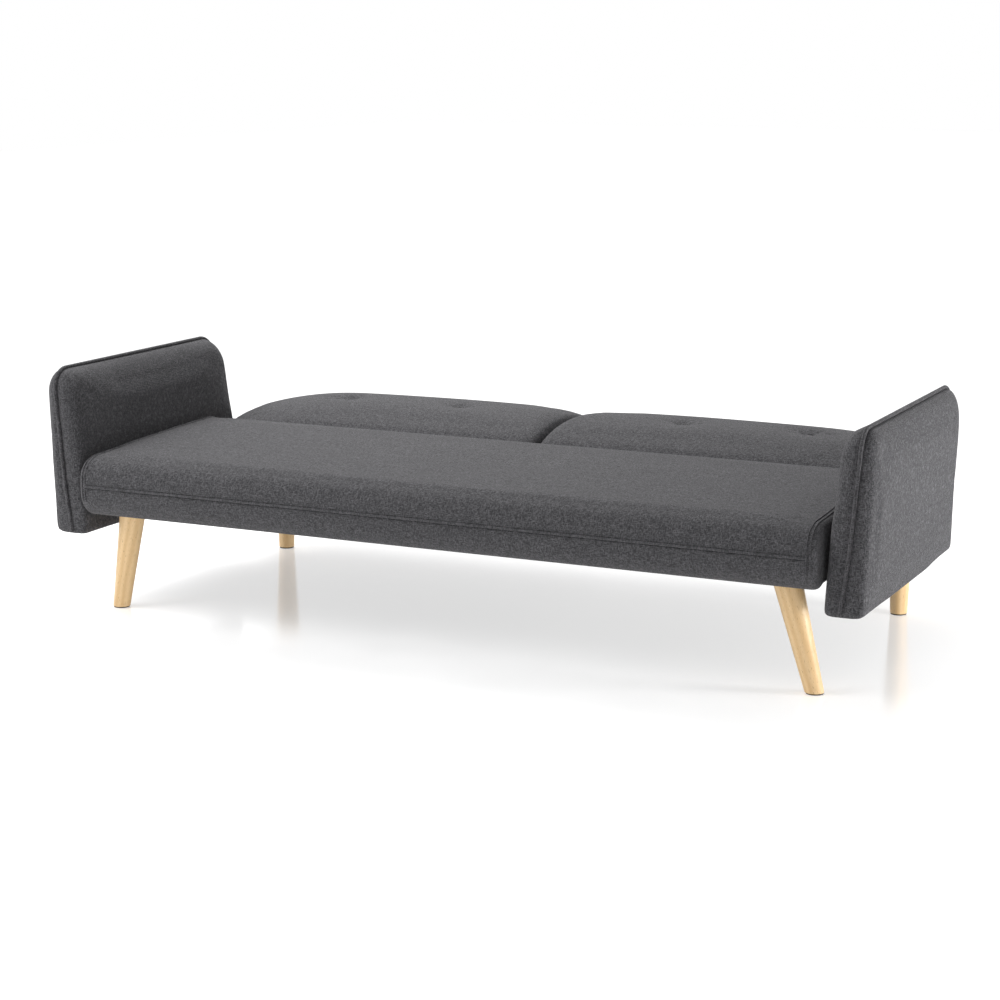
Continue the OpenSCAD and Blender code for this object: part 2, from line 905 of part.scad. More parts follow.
// Lays a piece drawn in (y, z) into the arm's leaning middle plane, t thick about it
module in_arm_plane(t, offset_x = 0) {
    translate([arm_mid_x, 0, arm_z])
        rotate([0, arm_lean, 0])
            translate([offset_x, 0, -arm_z])
                along_x(-t / 2, t / 2) children();
}

module arm_solid(d) {
    intersection() {
        along_y(arm_y0 - 1, arm_y1 + arm_h) polygon(arm_section(d));
        along_x(arm_in_x - 1, arm_out_x + knee_out + 1) polygon(arm_outline(d));
    }
}

module arm_bolt_holes(gap) {
    for (y = bolt_ys)
        bar_x(frame_half, arm_mid_x - panel_t / 2, [y, bolt_z], bolt_r + gap);
}

batten_x = -(panel_t + batten_t) / 2;
nut_r = 6;
nut_l = 18;

module arm_panel() {
    color(timber)
        in_arm_plane(panel_t) polygon(arm_outline(panel_inset));
}

module batten_outline(gap) {
    y0 = bolt_ys[0] - 40 - gap;
    y1 = bolt_ys[2] + 40 + gap;
    translate([y0, bolt_z - batten_h / 2 - gap]) square([y1 - y0, batten_h + 2 * gap]);
}

module arm_batten() {
    color(timber)
        difference() {
            in_arm_plane(batten_t, batten_x) batten_outline(0);
            for (y = bolt_ys)
                bar_x(0, through, [y, bolt_z], nut_r);
        }
}

nut_x = arm_mid_x - panel_t / 2 - batten_t + 6;

module insert_nut(y) {
    difference() {
        bar_x(nut_x, nut_x + nut_l, [y, bolt_z], nut_r);
        bar_x(nut_x - 1, nut_x + nut_l + 1, [y, bolt_z], bolt_r);
    }
}

module arm_bolt(y) {
    head = 6;
    bar_x(rail_x - head, rail_x, [y, bolt_z], 2 * bolt_r);
    bar_x(rail_x, nut_x + nut_l, [y, bolt_z], bolt_r);
}

module arm_bolts() {
    color(steel)
        both()
            for (y = bolt_ys)
                arm_bolt(y);
}

module insert_nuts() {
    color(steel)
        both()
            for (y = bolt_ys)
                insert_nut(y);
}

module arm_inner_foam() {
    color(foam_colour)
        difference() {
            arm_solid(cover_t + fit);
            in_arm_plane(through, (through - panel_t) / 2 - fit) polygon(arm_outline(-through / 4));
            in_arm_plane(batten_t + 2 * fit, batten_x) batten_outline(fit);
            arm_bolt_holes(slack);
        }
}

module arm_outer_foam() {
    color(foam_colour)
        difference() {
            arm_solid(cover_t + fit);
            in_arm_plane(through, (panel_t - through) / 2 + fit) polygon(arm_outline(-through / 4));
        }
}

module arm_cover() {
    color(fabric)
        difference() {
            arm_solid(0);
            arm_solid(cover_t);
            arm_bolt_holes(slack);
        }
}

piping_sides = 10;

// Rings of points square to a path in (y, z), about each of its points
function ring(path, i) =
    let (
        ahead = path[min(i + 1, len(path) - 1)] - path[max(i - 1, 0)],
        out = [-ahead[1], ahead[0]] / norm(ahead)
    )
    [for (k = [0:piping_sides - 1])
        let (a = 360 * k / piping_sides, c = piping_r * cos(a))
        [piping_r * sin(a), path[i][0] + c * out[0], path[i][1] + c * out[1]]];

// A closed tube along a path in the plane x = 0
module tube(path) {
    rings = len(path);
    last = (rings - 1) * piping_sides;
    polyhedron(
        points = [for (i = [0:rings - 1]) each ring(path, i)],
        faces = concat(
            [[for (k = [0:piping_sides - 1]) k]],
            [for (i = [0:rings - 2], k = [0:piping_sides - 1])
                let (a = i * piping_sides, b = a + piping_sides, n = (k + 1) % piping_sides)
                [a + k, b + k, b + n, a + n]],
            [[for (k = [piping_sides - 1:-1:0]) last + k]]
        )
    );
}

// The piping runs up the front, over the top and down the back, just outside the padding
module arm_piping() {
    color(fabric)
        translate([arm_mid_x, 0, arm_z])
            rotate([0, arm_lean, 0])
                translate([0, 0, -arm_z]) tube(arm_outline(-piping_r - slack));
}

front_rail();
mid_rail();
rear_rail();
left() side_rail();  // left_side_rail
side_rail();  // right_side_rail
seat_stretcher();
rear_stretcher();
corner_blocks();
leg_plates();
left() front_leg();  // front_left_leg
front_leg();  // front_right_leg
left() back_leg();  // back_left_leg
back_leg();  // back_right_leg
leg_bolts();
leg_glides();
seat_springs();
spring_clips();
seat_foam();
seat_cover();
seat_band();
base_cover();
dust_cloth();
back_stops();
hinge_brackets();
hinge_pins();
bracket_screws();
pawl_pins();
left() pawl();  // left_pawl
pawl();  // right_pawl
both() arm_panel();  // arm_panels
both() arm_batten();  // arm_battens
arm_bolts();
insert_nuts();
left() arm_inner_foam();  // left_arm_inner_foam
left() arm_outer_foam();  // left_arm_outer_foam
left() arm_cover();  // left_arm_cover
left() arm_piping();  // left_arm_piping
arm_inner_foam();  // right_arm_inner_foam
arm_outer_foam();  // right_arm_outer_foam
arm_cover();  // right_arm_cover
arm_piping();  // right_arm_piping
left() back_near_rail();  // left_back_near_rail
left() back_far_rail();  // left_back_far_rail
left() back_stile(stile_in_x);  // left_back_inner_stile
left() back_stile(stile_out_x);  // left_back_outer_stile
left() back_webbing();  // left_back_webbing
left() back_foam();  // left_back_foam
left() back_cover();  // left_back_cover
left() back_buttons();  // left_back_buttons
left() back_hinge_plates();  // left_back_hinge_plates
back_near_rail();  // right_back_near_rail
back_far_rail();  // right_back_far_rail
back_stile(stile_in_x);  // right_back_inner_stile
back_stile(stile_out_x);  // right_back_outer_stile
back_webbing();  // right_back_webbing
back_foam();  // right_back_foam
back_cover();  // right_back_cover
back_buttons();  // right_back_buttons
back_hinge_plates();  // right_back_hinge_plates
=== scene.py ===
# %% [markdown]
# # A click-clack sofa bed
#
# A sofa bed that is folded flat: a long padded seat between two leaning arms, and a back in two halves that
# lie behind the seat. The timber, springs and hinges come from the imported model. This script makes
# everything soft. All lengths are metres: +X runs along the seat to the right, +Y from the front to the
# back, +Z up.

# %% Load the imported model
import json
import math

import bmesh
import bpy
import numpy as np
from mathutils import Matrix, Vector
from mathutils.bvhtree import BVHTree
from mathutils.kdtree import KDTree


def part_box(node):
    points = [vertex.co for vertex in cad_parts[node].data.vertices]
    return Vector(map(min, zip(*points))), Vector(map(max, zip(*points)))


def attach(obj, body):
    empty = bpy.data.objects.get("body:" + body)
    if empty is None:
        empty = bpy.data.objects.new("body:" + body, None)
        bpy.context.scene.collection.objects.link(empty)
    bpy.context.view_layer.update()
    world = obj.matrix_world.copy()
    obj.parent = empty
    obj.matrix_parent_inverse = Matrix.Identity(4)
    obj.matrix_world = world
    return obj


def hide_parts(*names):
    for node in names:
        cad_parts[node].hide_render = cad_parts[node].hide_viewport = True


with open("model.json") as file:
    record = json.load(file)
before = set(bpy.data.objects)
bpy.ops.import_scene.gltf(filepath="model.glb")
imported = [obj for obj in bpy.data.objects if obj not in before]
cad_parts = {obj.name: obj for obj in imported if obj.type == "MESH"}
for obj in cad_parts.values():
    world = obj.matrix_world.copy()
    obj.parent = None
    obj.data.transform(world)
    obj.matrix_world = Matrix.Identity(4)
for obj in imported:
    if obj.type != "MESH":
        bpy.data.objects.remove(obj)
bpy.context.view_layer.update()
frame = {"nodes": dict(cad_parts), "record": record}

# %% [markdown]
# ## The camera
#
# A long lens from a little above eye level of a seated person, well off to the right, shows the whole bed
# and keeps the verticals almost upright. It is set first, because everything after it is judged through it.

# %% Camera
CAMERA_AT = (2.226, -4.807, 1.333)
CAMERA_TURN = 25.4
CAMERA_DIP = 11.5
LENS = 83.1

camera = bpy.data.objects.new("camera", bpy.data.cameras.new("camera"))
camera.data.lens = LENS
camera.location = CAMERA_AT
camera.rotation_euler = (math.radians(90 - CAMERA_DIP), 0, math.radians(CAMERA_TURN))
bpy.context.scene.collection.objects.link(camera)
bpy.context.scene.camera = camera
print("camera", CAMERA_AT, "lens", LENS, "mm")

# %% [markdown]
# ## Helpers for surfaces
#
# Every soft piece starts as points worked out with numpy. `mesh_piece` turns points and faces into an
# object at the origin, `grid_faces` joins a sheet of points into squares, and `sweep` carries a small round
# section along a path, which is how piping, seams and stitches are made.


# %% Mesh helpers
def mesh_piece(name, points, faces, smooth=True):
    """An object at the origin from an (n, 3) array of points and a list of faces, shaded smooth."""
    mesh = bpy.data.meshes.new(name)
    mesh.from_pydata(np.asarray(points, float).tolist(), [], [list(map(int, f)) for f in faces])
    mesh.update()
    if smooth:
        mesh.polygons.foreach_set("use_smooth", np.ones(len(mesh.polygons), bool))
    piece = bpy.data.objects.new(name, mesh)
    bpy.context.scene.collection.objects.link(piece)
    return piece


def grid_faces(rows, cols, wrap_rows=False, wrap_cols=False):
    """Squares between neighbouring points of a rows by cols grid, closed round either way if asked."""
    r = np.arange(rows if wrap_rows else rows - 1)
    c = np.arange(cols if wrap_cols else cols - 1)
    i, j = np.meshgrid(r, c, indexing="ij")
    i2, j2 = (i + 1) % rows, (j + 1) % cols
    quads = np.stack([i * cols + j, i2 * cols + j, i2 * cols + j2, i * cols + j2], -1)
    return quads.reshape(-1, 4).tolist()


def outward(piece):
    """Turns every face of a closed piece to face outwards."""
    build = bmesh.new()
    build.from_mesh(piece.data)
    bmesh.ops.recalc_face_normals(build, faces=build.faces)
    build.to_mesh(piece.data)
    build.free()
    return piece


def sweep(name, path, radius, sides=10, closed=False, squash=1.0, up=(0, 0, 1)):
    """A round section carried along a path: at each point it lies in the plane square to the path's
    direction. squash flattens the section along the path's own upward normal."""
    path = np.asarray(path, float)
    if closed:
        ahead = np.roll(path, -1, 0) - np.roll(path, 1, 0)
    else:
        ahead = np.gradient(path, axis=0)
    ahead /= np.linalg.norm(ahead, axis=1, keepdims=True)
    side = np.cross(ahead, np.asarray(up, float))
    side /= np.linalg.norm(side, axis=1, keepdims=True)
    top = np.cross(side, ahead)
    turn = np.linspace(0, 2 * np.pi, sides, endpoint=False)
    rings = (
        path[:, None]
        + radius * np.cos(turn)[None, :, None] * side[:, None]
        + radius * squash * np.sin(turn)[None, :, None] * top[:, None]
    )
    faces = grid_faces(len(path), sides, wrap_rows=closed, wrap_cols=True)
    if not closed:
        last = (len(path) - 1) * sides
        faces += [list(range(sides)), list(range(last + sides - 1, last - 1, -1))]
    return outward(mesh_piece(name, rings.reshape(-1, 3), faces))


def resample(path, step):
    """The same path with points a fixed step apart, measured along it."""
    path = np.asarray(path, float)
    run = np.r_[0, np.cumsum(np.linalg.norm(np.diff(path, axis=0), axis=1))]
    at = np.linspace(0, run[-1], max(int(round(run[-1] / step)) + 1, 2))
    return np.stack([np.interp(at, run, path[:, k]) for k in range(path.shape[1])], 1)


def arc(centre, r, a0, a1, n=10):
    """Points on a circle about centre from angle a0 to a1, in degrees. r may be a pair, for an ellipse."""
    a = np.radians(np.linspace(a0, a1, n + 1))
    rx, ry = (r, r) if np.isscalar(r) else r
    return np.stack([centre[0] + rx * np.cos(a), centre[1] + ry * np.sin(a)], 1)


def join(name, parts):
    """Several pieces made one, under a new name."""
    build = bmesh.new()
    for part in parts:
        build.from_mesh(part.data)
        bpy.data.objects.remove(part)
    mesh = bpy.data.meshes.new(name)
    build.to_mesh(mesh)
    build.free()
    mesh.polygons.foreach_set("use_smooth", np.ones(len(mesh.polygons), bool))
    piece = bpy.data.objects.new(name, mesh)
    bpy.context.scene.collection.objects.link(piece)
    return piece


def mirrored(piece, name):
    """A copy of a piece on the other side of the middle plane, its faces turned to point outwards again."""
    mesh = piece.data.copy()
    write_points(mesh, read_points(mesh) * (-1, 1, 1))
    mesh.flip_normals()
    twin = bpy.data.objects.new(name, mesh)
    bpy.context.scene.collection.objects.link(twin)
    return twin


print("helpers ready")

# %% [markdown]
# ## Padding by cloth simulation
#
# Upholstery is a skin pulled over foam. `puff` remeshes a closed form into even cells, holds the parts that
# are sewn or stapled down, and lets air pressure swell the rest, as foam does under its cover. The movement
# is capped, so the piece keeps the size that the frame gives it.


# %% The simulation
def puff(piece, held, pressure, cap, dent=0.001, voxel=0.006, frames=20, stiffness=12.0):
    """Swells a closed piece under pressure while the held points stay. held(points) gives a weight for each
    point, 1 where it can't move. A point moves along its own normal, at most cap outwards and dent
    inwards."""
    remesh = piece.modifiers.new("cells", "REMESH")
    remesh.mode = "VOXEL"
    remesh.voxel_size = voxel
    apply_modifiers(piece)
    mesh = piece.data
    start = read_points(mesh)
    facing = np.zeros(len(start) * 3)
    mesh.vertices.foreach_get("normal", facing)
    facing = facing.reshape(-1, 3)
    weights = held(start)
    group = piece.vertex_groups.new(name="held")
    for level in np.unique(np.round(weights, 1)):
        if level > 0:
            group.add(np.flatnonzero(np.round(weights, 1) == level).tolist(), float(level), "REPLACE")
    cloth = piece.modifiers.new("cloth", "CLOTH")
    s = cloth.settings
    s.quality = 4
    s.mass = 0.3
    s.tension_stiffness = stiffness
    s.compression_stiffness = stiffness
    s.shear_stiffness = 4
    s.bending_stiffness = 0.6
    s.use_pressure = True
    s.uniform_pressure_force = pressure
    s.vertex_group_mass = "held"
    s.pin_stiffness = 1
    s.effector_weights.gravity = 0
    cloth.collision_settings.use_collision = False
    scene = bpy.context.scene
    cloth.point_cache.frame_end = frames
    for f in range(1, frames + 1):
        scene.frame_set(f)
    apply_modifiers(piece)
    scene.frame_set(1)
    piece.vertex_groups.clear()
    moved = ((read_points(piece.data) - start) * facing).sum(1)
    write_points(piece.data, start + np.clip(moved, -dent, cap)[:, None] * facing)
    print(f"{piece.name}: {len(start)} points, swelled up to {1000 * min(moved.max(), cap):.1f} mm")
    return piece


def apply_modifiers(piece):
    """Bakes a piece's modifiers into its mesh."""
    shown = piece.evaluated_get(bpy.context.evaluated_depsgraph_get())
    mesh = bpy.data.meshes.new_from_object(shown)
    piece.modifiers.clear()
    old, piece.data = piece.data, mesh
    bpy.data.meshes.remove(old)
    mesh.polygons.foreach_set("use_smooth", np.ones(len(mesh.polygons), bool))


def read_points(mesh):
    """A mesh's points as an (n, 3) array."""
    points = np.zeros(len(mesh.vertices) * 3)
    mesh.vertices.foreach_get("co", points)
    return points.reshape(-1, 3)


def write_points(mesh, points):
    """Puts an (n, 3) array back into a mesh."""
    mesh.vertices.foreach_set("co", np.asarray(points, float).ravel())
    mesh.update()


def relax(piece, rounds=2, back=0.0):
    """Evens out a mesh: in each round every point moves half of the way to the middle of its neighbours,
    and then by the share back away from it, which keeps wide shapes full while it still removes small
    wrinkles."""
    for _ in range(rounds):
        for factor in (0.5, -back):
            if factor:
                smooth = piece.modifiers.new("relax", "SMOOTH")
                smooth.iterations = 1
                smooth.factor = factor
    apply_modifiers(piece)
    return piece


def finer(piece):
    """One live level of subdivision."""
    more = piece.modifiers.new("finer", "SUBSURF")
    more.levels = 1
    more.render_levels = 1
    return piece


def onto(piece, points, lift=0.0):
    """The nearest place on a piece's surface to each point, raised by lift along the surface's normal."""
    tree = BVHTree.FromPolygons(
        [Vector(p) for p in read_points(piece.data)], [tuple(f.vertices) for f in piece.data.polygons]
    )
    found = [tree.find_nearest(Vector(p)) for p in points]
    return np.array([list(f[0] + f[1] * lift) for f in found])


def nudge(piece, shift):
    """Moves a piece's points by shift(points), an (n, 3) array of moves."""
    points = read_points(piece.data)
    write_points(piece.data, points + shift(points))
    return piece


def wear(body, piece, *nodes, fill=None, finish="charcoal_fabric"):
    """Puts a finished piece on its body: what CAD nodes it stands for and its finish. fill, how full its
    padding is, is not used."""
    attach(piece, body)
    if nodes:
        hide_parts(*nodes)
    finishes.setdefault(finish, []).append(piece)
    return piece


finishes = {}
print("simulation ready, quick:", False)

# %% [markdown]
# ## The seat
#
# The seat is a long box whose section is the same all along: tucked in under the front, a full curve over
# the top front edge, and a nearly flat top that rises to the hinge line. So it is one closed outline swept
# along X, a little smaller near each end where the cover turns the corner.

# %% Seat sizes from the frame
seat_low, seat_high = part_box("seat_cover")
band_low, band_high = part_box("seat_band")
SEAT_HALF = seat_high.x
SEAT_FRONT = seat_low.y
SEAT_REAR = seat_high.y
SEAT_BOTTOM = seat_low.z
SEAT_TOP = seat_high.z
SEAT_FALL = 0.016
END_ROUND = 0.014
LIP = 0.0045
# Half-width, half-height and depth of the hollow behind each pawl
PAWL_ROOM = (0.018, 0.036, 0.020)


def seat_section(inset=0.0):
    """The seat from the side as (y, z) points, counted from the rear bottom corner round by the front: a
    tuck arc, an ellipse over the front edge, a gently crowned top and a small rear edge, all moved inwards
    by inset."""
    d = inset
    tuck = arc((SEAT_FRONT + 0.060, SEAT_BOTTOM + 0.054), 0.060 - d, 244, 180, 8)
    front = arc((SEAT_FRONT + 0.054, SEAT_TOP - SEAT_FALL - 0.050), (0.054 - d, 0.050 - d), 180, 95, 12)
    rear = arc((SEAT_REAR - 0.020, SEAT_TOP - 0.020), 0.020 - d, 92, 0, 8)
    run = np.linspace(0, 1, 24)[1:-1]
    rise = 0.003 * np.sin(np.pi * run)
    top = np.stack([front[-1, 0] + run * (rear[0, 0] - front[-1, 0]),
                    front[-1, 1] + run * (rear[0, 1] - front[-1, 1]) + rise], 1)
    wall = np.array([[SEAT_REAR - d, SEAT_BOTTOM + 0.06], [SEAT_REAR - d, SEAT_BOTTOM + LIP + d]])
    lip = np.array([[SEAT_FRONT + 0.058, SEAT_BOTTOM + LIP + d], [SEAT_FRONT + 0.052, SEAT_BOTTOM + d]])
    return np.vstack([tuck, front, top, rear, wall, lip])


def swept_box(name, section, half, round_r, steps=6):
    """A closed form: the section from x = -half to half, shrinking over round_r at each end as a quarter
    circle."""
    turn = np.linspace(0, np.pi / 2, steps + 1)
    ends = [(half - round_r + round_r * math.sin(t), round_r * (1 - math.cos(t))) for t in turn]
    stations = [(-x, d) for x, d in ends[::-1]] + ends
    loops = [np.c_[np.full(len(section(d)), x), section(d)] for x, d in stations]
    points = np.vstack(loops)
    n = len(loops[0])
    faces = grid_faces(len(loops), n, wrap_cols=True)
    faces += [list(range(n)), list(range(len(points) - 1, len(points) - n - 1, -1))]
    return outward(mesh_piece(name, points, faces))


def seat_held(p):
    """The seat's skin is stapled under the frame, sewn along the band, and held at both ends and the hinge
    line."""
    low = p[:, 2] < SEAT_BOTTOM + 0.030
    rear = p[:, 1] > SEAT_REAR - 0.018
    end = np.abs(p[:, 0]) > SEAT_HALF - 0.010
    band = (p[:, 1] < SEAT_FRONT + 0.02) & (p[:, 2] > band_low.z - 0.008) & (p[:, 2] < band_high.z + 0.008)
    return np.where(low | rear | end | band, 1.0, 0.0)


def lock_pockets(p):
    """Room for each swinging pawl: a bell-shaped hollow in the rear of the seat, hidden by the hinge
    line."""
    low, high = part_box("right_pawl")
    aside = (np.abs(p[:, 0]) - (low.x + high.x) / 2) / PAWL_ROOM[0]
    over = (p[:, 2] - (low.z + high.z) / 2) / PAWL_ROOM[1]
    rear = np.clip((p[:, 1] - SEAT_REAR + 0.050) / 0.020, 0, 1)
    move = np.zeros_like(p)
    move[:, 1] = -PAWL_ROOM[2] * np.exp(-(aside**2) - over**4) * rear
    return move


seat = swept_box("seat_upholstery", seat_section, SEAT_HALF, END_ROUND)
puff(seat, seat_held, pressure=0.6, cap=0.005, voxel=0.007)
relax(seat, 3)
nudge(seat, lock_pockets)
finer(seat)
wear("base", seat, "seat_cover", "seat_foam", fill=0.8)

# %% [markdown]
# ## The front band and the seat's end seams
#
# A band runs along the front, with a row of stitching sunk along each edge. It is a thin closed strip whose
# section bulges between two narrow grooves, and the thread is a row of short stitches lying in them. Near
# each end of the seat a pair of seams turns the corner of the cover, so they are swept ridges laid on the
# padding.

# %% Band
BAND_LOW, BAND_HIGH = band_low.z, band_high.z
BAND_HALF = band_high.x
BAND_PROUD = 0.0042
GROOVE_IN = 0.0028
GROOVE_DEEP = 0.0042
GROOVE_W = 0.0014
STITCH_STEP = 0.0052


def band_strip():
    """The band as a closed strip: its section is a low arch, less a bell-shaped dip near each edge."""
    u = np.linspace(-1, 1, 41)
    half_h = (BAND_HIGH - BAND_LOW) / 2
    mid = (BAND_HIGH + BAND_LOW) / 2
    dip = (np.abs(u) * half_h - (half_h - GROOVE_IN)) / GROOVE_W
    proud = BAND_PROUD * (1 - np.abs(u) ** 8) - GROOVE_DEEP * np.exp(-(dip**2))
    x = np.linspace(-BAND_HALF, BAND_HALF, 420)
    ends = np.clip((BAND_HALF - np.abs(x)) / 0.008, 0, 1) ** 0.5
    ripple = 0.0003 * np.sin(x * 61) * np.sin(x * 17)
    y = SEAT_FRONT + 0.001 - (proud[None, :] + ripple[:, None]) * ends[:, None]
    front = np.stack([np.repeat(x[:, None], len(u), 1), y, np.tile(mid + u * half_h, (len(x), 1))], -1)
    back = front.copy()
    back[..., 1] = SEAT_FRONT + 0.004
    rings = np.concatenate([front, back[:, ::-1]], 1)
    n = rings.shape[1]
    faces = grid_faces(len(x), n, wrap_cols=True)
    last = (len(x) - 1) * n
    faces += [list(range(n)), list(range(last + n - 1, last - 1, -1))]
    return outward(mesh_piece("seat_band_strip", rings.reshape(-1, 3), faces))


def stitch_row(name, path, step=STITCH_STEP, length=0.0036, thick=0.0005, up=(0, 0, 1)):
    """Raised stitches along a path: each is a small six-sided bead, longer than it is thick."""
    path = resample(path, step)
    ahead = np.gradient(path, axis=0)
    ahead /= np.linalg.norm(ahead, axis=1, keepdims=True)
    side = np.cross(ahead, np.asarray(up, float))
    side /= np.linalg.norm(side, axis=1, keepdims=True)
    top = np.cross(side, ahead)
    along = np.array([-0.5, -0.3, 0.3, 0.5]) * length
    width = np.array([0.35, 1.0, 1.0, 0.35]) * thick
    turn = np.radians(np.arange(0, 360, 60))
    rings = (
        path[:, None, None]
        + along[None, :, None, None] * ahead[:, None, None]
        + (width[:, None] * np.cos(turn))[None, ..., None] * side[:, None, None]
        + (width[:, None] * np.sin(turn))[None, ..., None] * top[:, None, None]
    )
    bead = np.array(grid_faces(4, 6, wrap_cols=True))
    caps = np.array([[0, 5, 4, 3, 2, 1], [18, 19, 20, 21, 22, 23]])
    faces = [f for k in range(len(path)) for f in (bead + 24 * k).tolist() + (caps + 24 * k).tolist()]
    return outward(mesh_piece(name, rings.reshape(-1, 3), faces))


wear("base", band_strip(), "seat_band")
rows = []
for edge, z in (("lower", BAND_LOW + GROOVE_IN), ("upper", BAND_HIGH - GROOVE_IN)):
    x = np.linspace(-BAND_HALF + 0.010, BAND_HALF - 0.010, 60)
    rows.append(stitch_row(f"band_{edge}", np.c_[x, np.full(60, SEAT_FRONT + 0.0002), np.full(60, z)]))
# The stitches are charcoal thread, coloured darker than the cloth as painted shade, so the grooves they lie
# in read as dark shadow lines.
wear("base", join("band_stitches", rows), finish="seam_thread_painted_shade")
print("band", round(2 * BAND_HALF, 3), "m long,", round(1000 * (BAND_HIGH - BAND_LOW), 1), "mm high")


# %% End seams
def end_seam(x, name):
    """A seam round the seat near one end: up the front, over the top and back to the hinge line."""
    section = seat_section(0.0)
    kept = section[(section[:, 1] > SEAT_BOTTOM + 0.030) & (section[:, 0] < SEAT_REAR - 0.012)]
    path = resample(np.c_[np.full(len(kept), x), kept], 0.008)
    return sweep(name, onto(seat, path, 0.0003), 0.0016, sides=8, squash=0.8, up=(1, 0, 0))


SEAM_INS = (0.0125, 0.0205)
seams = [end_seam(s * (SEAT_HALF - d), f"seam_{s}_{d}") for s in (-1, 1) for d in SEAM_INS]
wear("base", join("seat_end_seams", seams))

# %% [markdown]
# ## The back halves
#
# Each half is a pad crowned from front to rear, with softly rounded corners, and two covered buttons pull
# its cover down. Their threads reach the frame, so the skin is held there while pressure fills the rest,
# and short folds spread from each dimple. The right half is simulated once, and the left is its mirror
# image.

# %% Back half sizes
half_low, half_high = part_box("right_back_cover")
button_low, button_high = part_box("right_back_buttons")
BUTTON_R = 0.014
BUTTON_Y = (button_low.y + button_high.y) / 2
BUTTON_XS = (button_low.x + BUTTON_R, button_high.x - BUTTON_R)
CROWN_Z = half_high.z
PAD_LOW = half_low.z
HINGE_EDGE_R = 0.020
FAR_EDGE_R = 0.045
FAR_CORNER_R = 0.060
SWELL = 0.006
OUTER_DROP, OUTER_SLOPE = 0.040, 0.26
FAR_DROP, FAR_RISE = 0.046, 0.028
INNER_DROP, INNER_ROUND_R = 0.020, 0.040


def crown(v):
    """Height of the crown over a half's flat part, from hinge edge (v = 0) to far edge (v = 1): half a sine
    wave, flattened by a power below one."""
    return np.sin(np.pi * np.clip(v, 0, 1) ** 0.93) ** 0.72


def back_section(y1, height, drop):
    """A half from the side as (y, z) points: bottom, near edge, crowned top and far edge. height is how
    high the crown stands over the bottom, and drop is how far the far edge starts below the crown."""
    y0 = half_low.y - 0.0005
    low = PAD_LOW - 0.0005
    near = arc((y0 + HINGE_EDGE_R, low + height - 0.040 - HINGE_EDGE_R), HINGE_EDGE_R, 180, 110, 7)
    far = arc((y1 - FAR_EDGE_R, low + height - drop - FAR_EDGE_R), FAR_EDGE_R, 62, 0, 8)
    v = np.linspace(0, 1, 30)[1:-1]
    flat = near[-1, 1] + v * (far[0, 1] - near[-1, 1])
    lift = low + height - (near[-1, 1] + far[0, 1]) / 2
    top = np.stack([near[-1, 0] + v * (far[0, 0] - near[-1, 0]), flat + lift * crown(v)], 1)
    foot = arc((y1 - 0.018, low + 0.018), 0.018, 0, -90, 5)
    base = np.linspace(0, 1, 8)[1:]
    bottom = np.stack([foot[-1, 0] + base * (y0 + 0.001 - foot[-1, 0]), np.full(7, low)], 1)
    return np.vstack([near, top, far, foot, bottom, [[y0, low + 0.001]]])


def back_pad(name):
    """The section carried along X. It slopes down towards the outer end and turns over near the inner one,
    its far edge draws in round the corners seen from above, and the last stations shrink to round the edges
    off."""
    low, high = half_low.x + 0.001, half_high.x - 0.001
    ease = 1 - np.cos(np.linspace(0, np.pi / 2, 14))
    x = np.r_[low + 0.11 * ease, np.linspace(low + 0.13, high - 0.13, 24), (high - 0.11 * ease)[::-1]]
    loops = []
    for at in x:
        end = min(at - low, high - at)
        slope = OUTER_DROP * (1 - math.sin(math.pi / 2 * min((high - at) / OUTER_SLOPE, 1)))
        turned_in = INNER_DROP * (1 - math.sqrt(1 - (1 - min((at - low) / INNER_ROUND_R, 1)) ** 2))
        height = CROWN_Z - SWELL - PAD_LOW - slope - turned_in
        turn = 1 - min(end / FAR_CORNER_R, 1)
        y1 = half_high.y - 0.002 - FAR_CORNER_R * (1 - math.sqrt(1 - turn**2)) * 0.8
        loop = back_section(y1, height, FAR_DROP - FAR_RISE * slope / OUTER_DROP)
        edge = max(0.014 - end, 0) / 0.014
        pull = 0.012 * (1 - math.sqrt(1 - edge**2))
        middle = loop.mean(0)
        away = loop - middle
        loop = middle + away * (1 - pull / np.linalg.norm(away, axis=1, keepdims=True))
        loops.append(np.c_[np.full(len(loop), at), loop])
    n = len(loops[0])
    faces = grid_faces(len(loops), n, wrap_cols=True)
    last = (len(loops) - 1) * n
    faces += [list(range(n)), list(range(last + n - 1, last - 1, -1))]
    return outward(mesh_piece(name, np.vstack(loops), faces))


def from_buttons(p):
    """Each point's distance and direction from the nearest button, seen from above."""
    dx = np.stack([p[:, 0] - x for x in BUTTON_XS], 1)
    near = np.abs(dx).argmin(1)
    dx = dx[np.arange(len(p)), near]
    dy = p[:, 1] - BUTTON_Y
    return np.hypot(dx, dy), np.arctan2(dy, dx), near


def back_held(p):
    """The skin is fixed under the pad, round its lower edge and at the buttons' threads."""
    r, _, _ = from_buttons(p)
    low = p[:, 2] < PAD_LOW + 0.035
    hinge = (p[:, 1] < half_low.y + 0.012) & (p[:, 2] < CROWN_Z - 0.050)
    return np.where(low | hinge | (r < BUTTON_R), 1.0, 0.0)


def dimple(p):
    """The pull of the threads: a narrow bell and a wide one, with folds that spread out from the button,
    longest to the left and right. Only the top moves."""
    r, turn, near = from_buttons(p)
    top = np.clip((p[:, 2] - CROWN_Z + 0.060) / 0.020, 0, 1)
    deep = 0.0098 * np.exp(-((r / 0.019) ** 2)) + 0.0026 * np.exp(-((r / 0.050) ** 2))
    reach = 0.016 + 0.022 * np.cos(turn) ** 2
    fade = np.exp(-(((r - 0.022) / reach) ** 2)) * np.clip(r / 0.02, 0, 1)
    folds = 0.0014 * np.cos(8 * turn + 0.9 * near) * fade
    move = np.zeros_like(p)
    move[:, 2] = -top * (deep + folds)
    return move


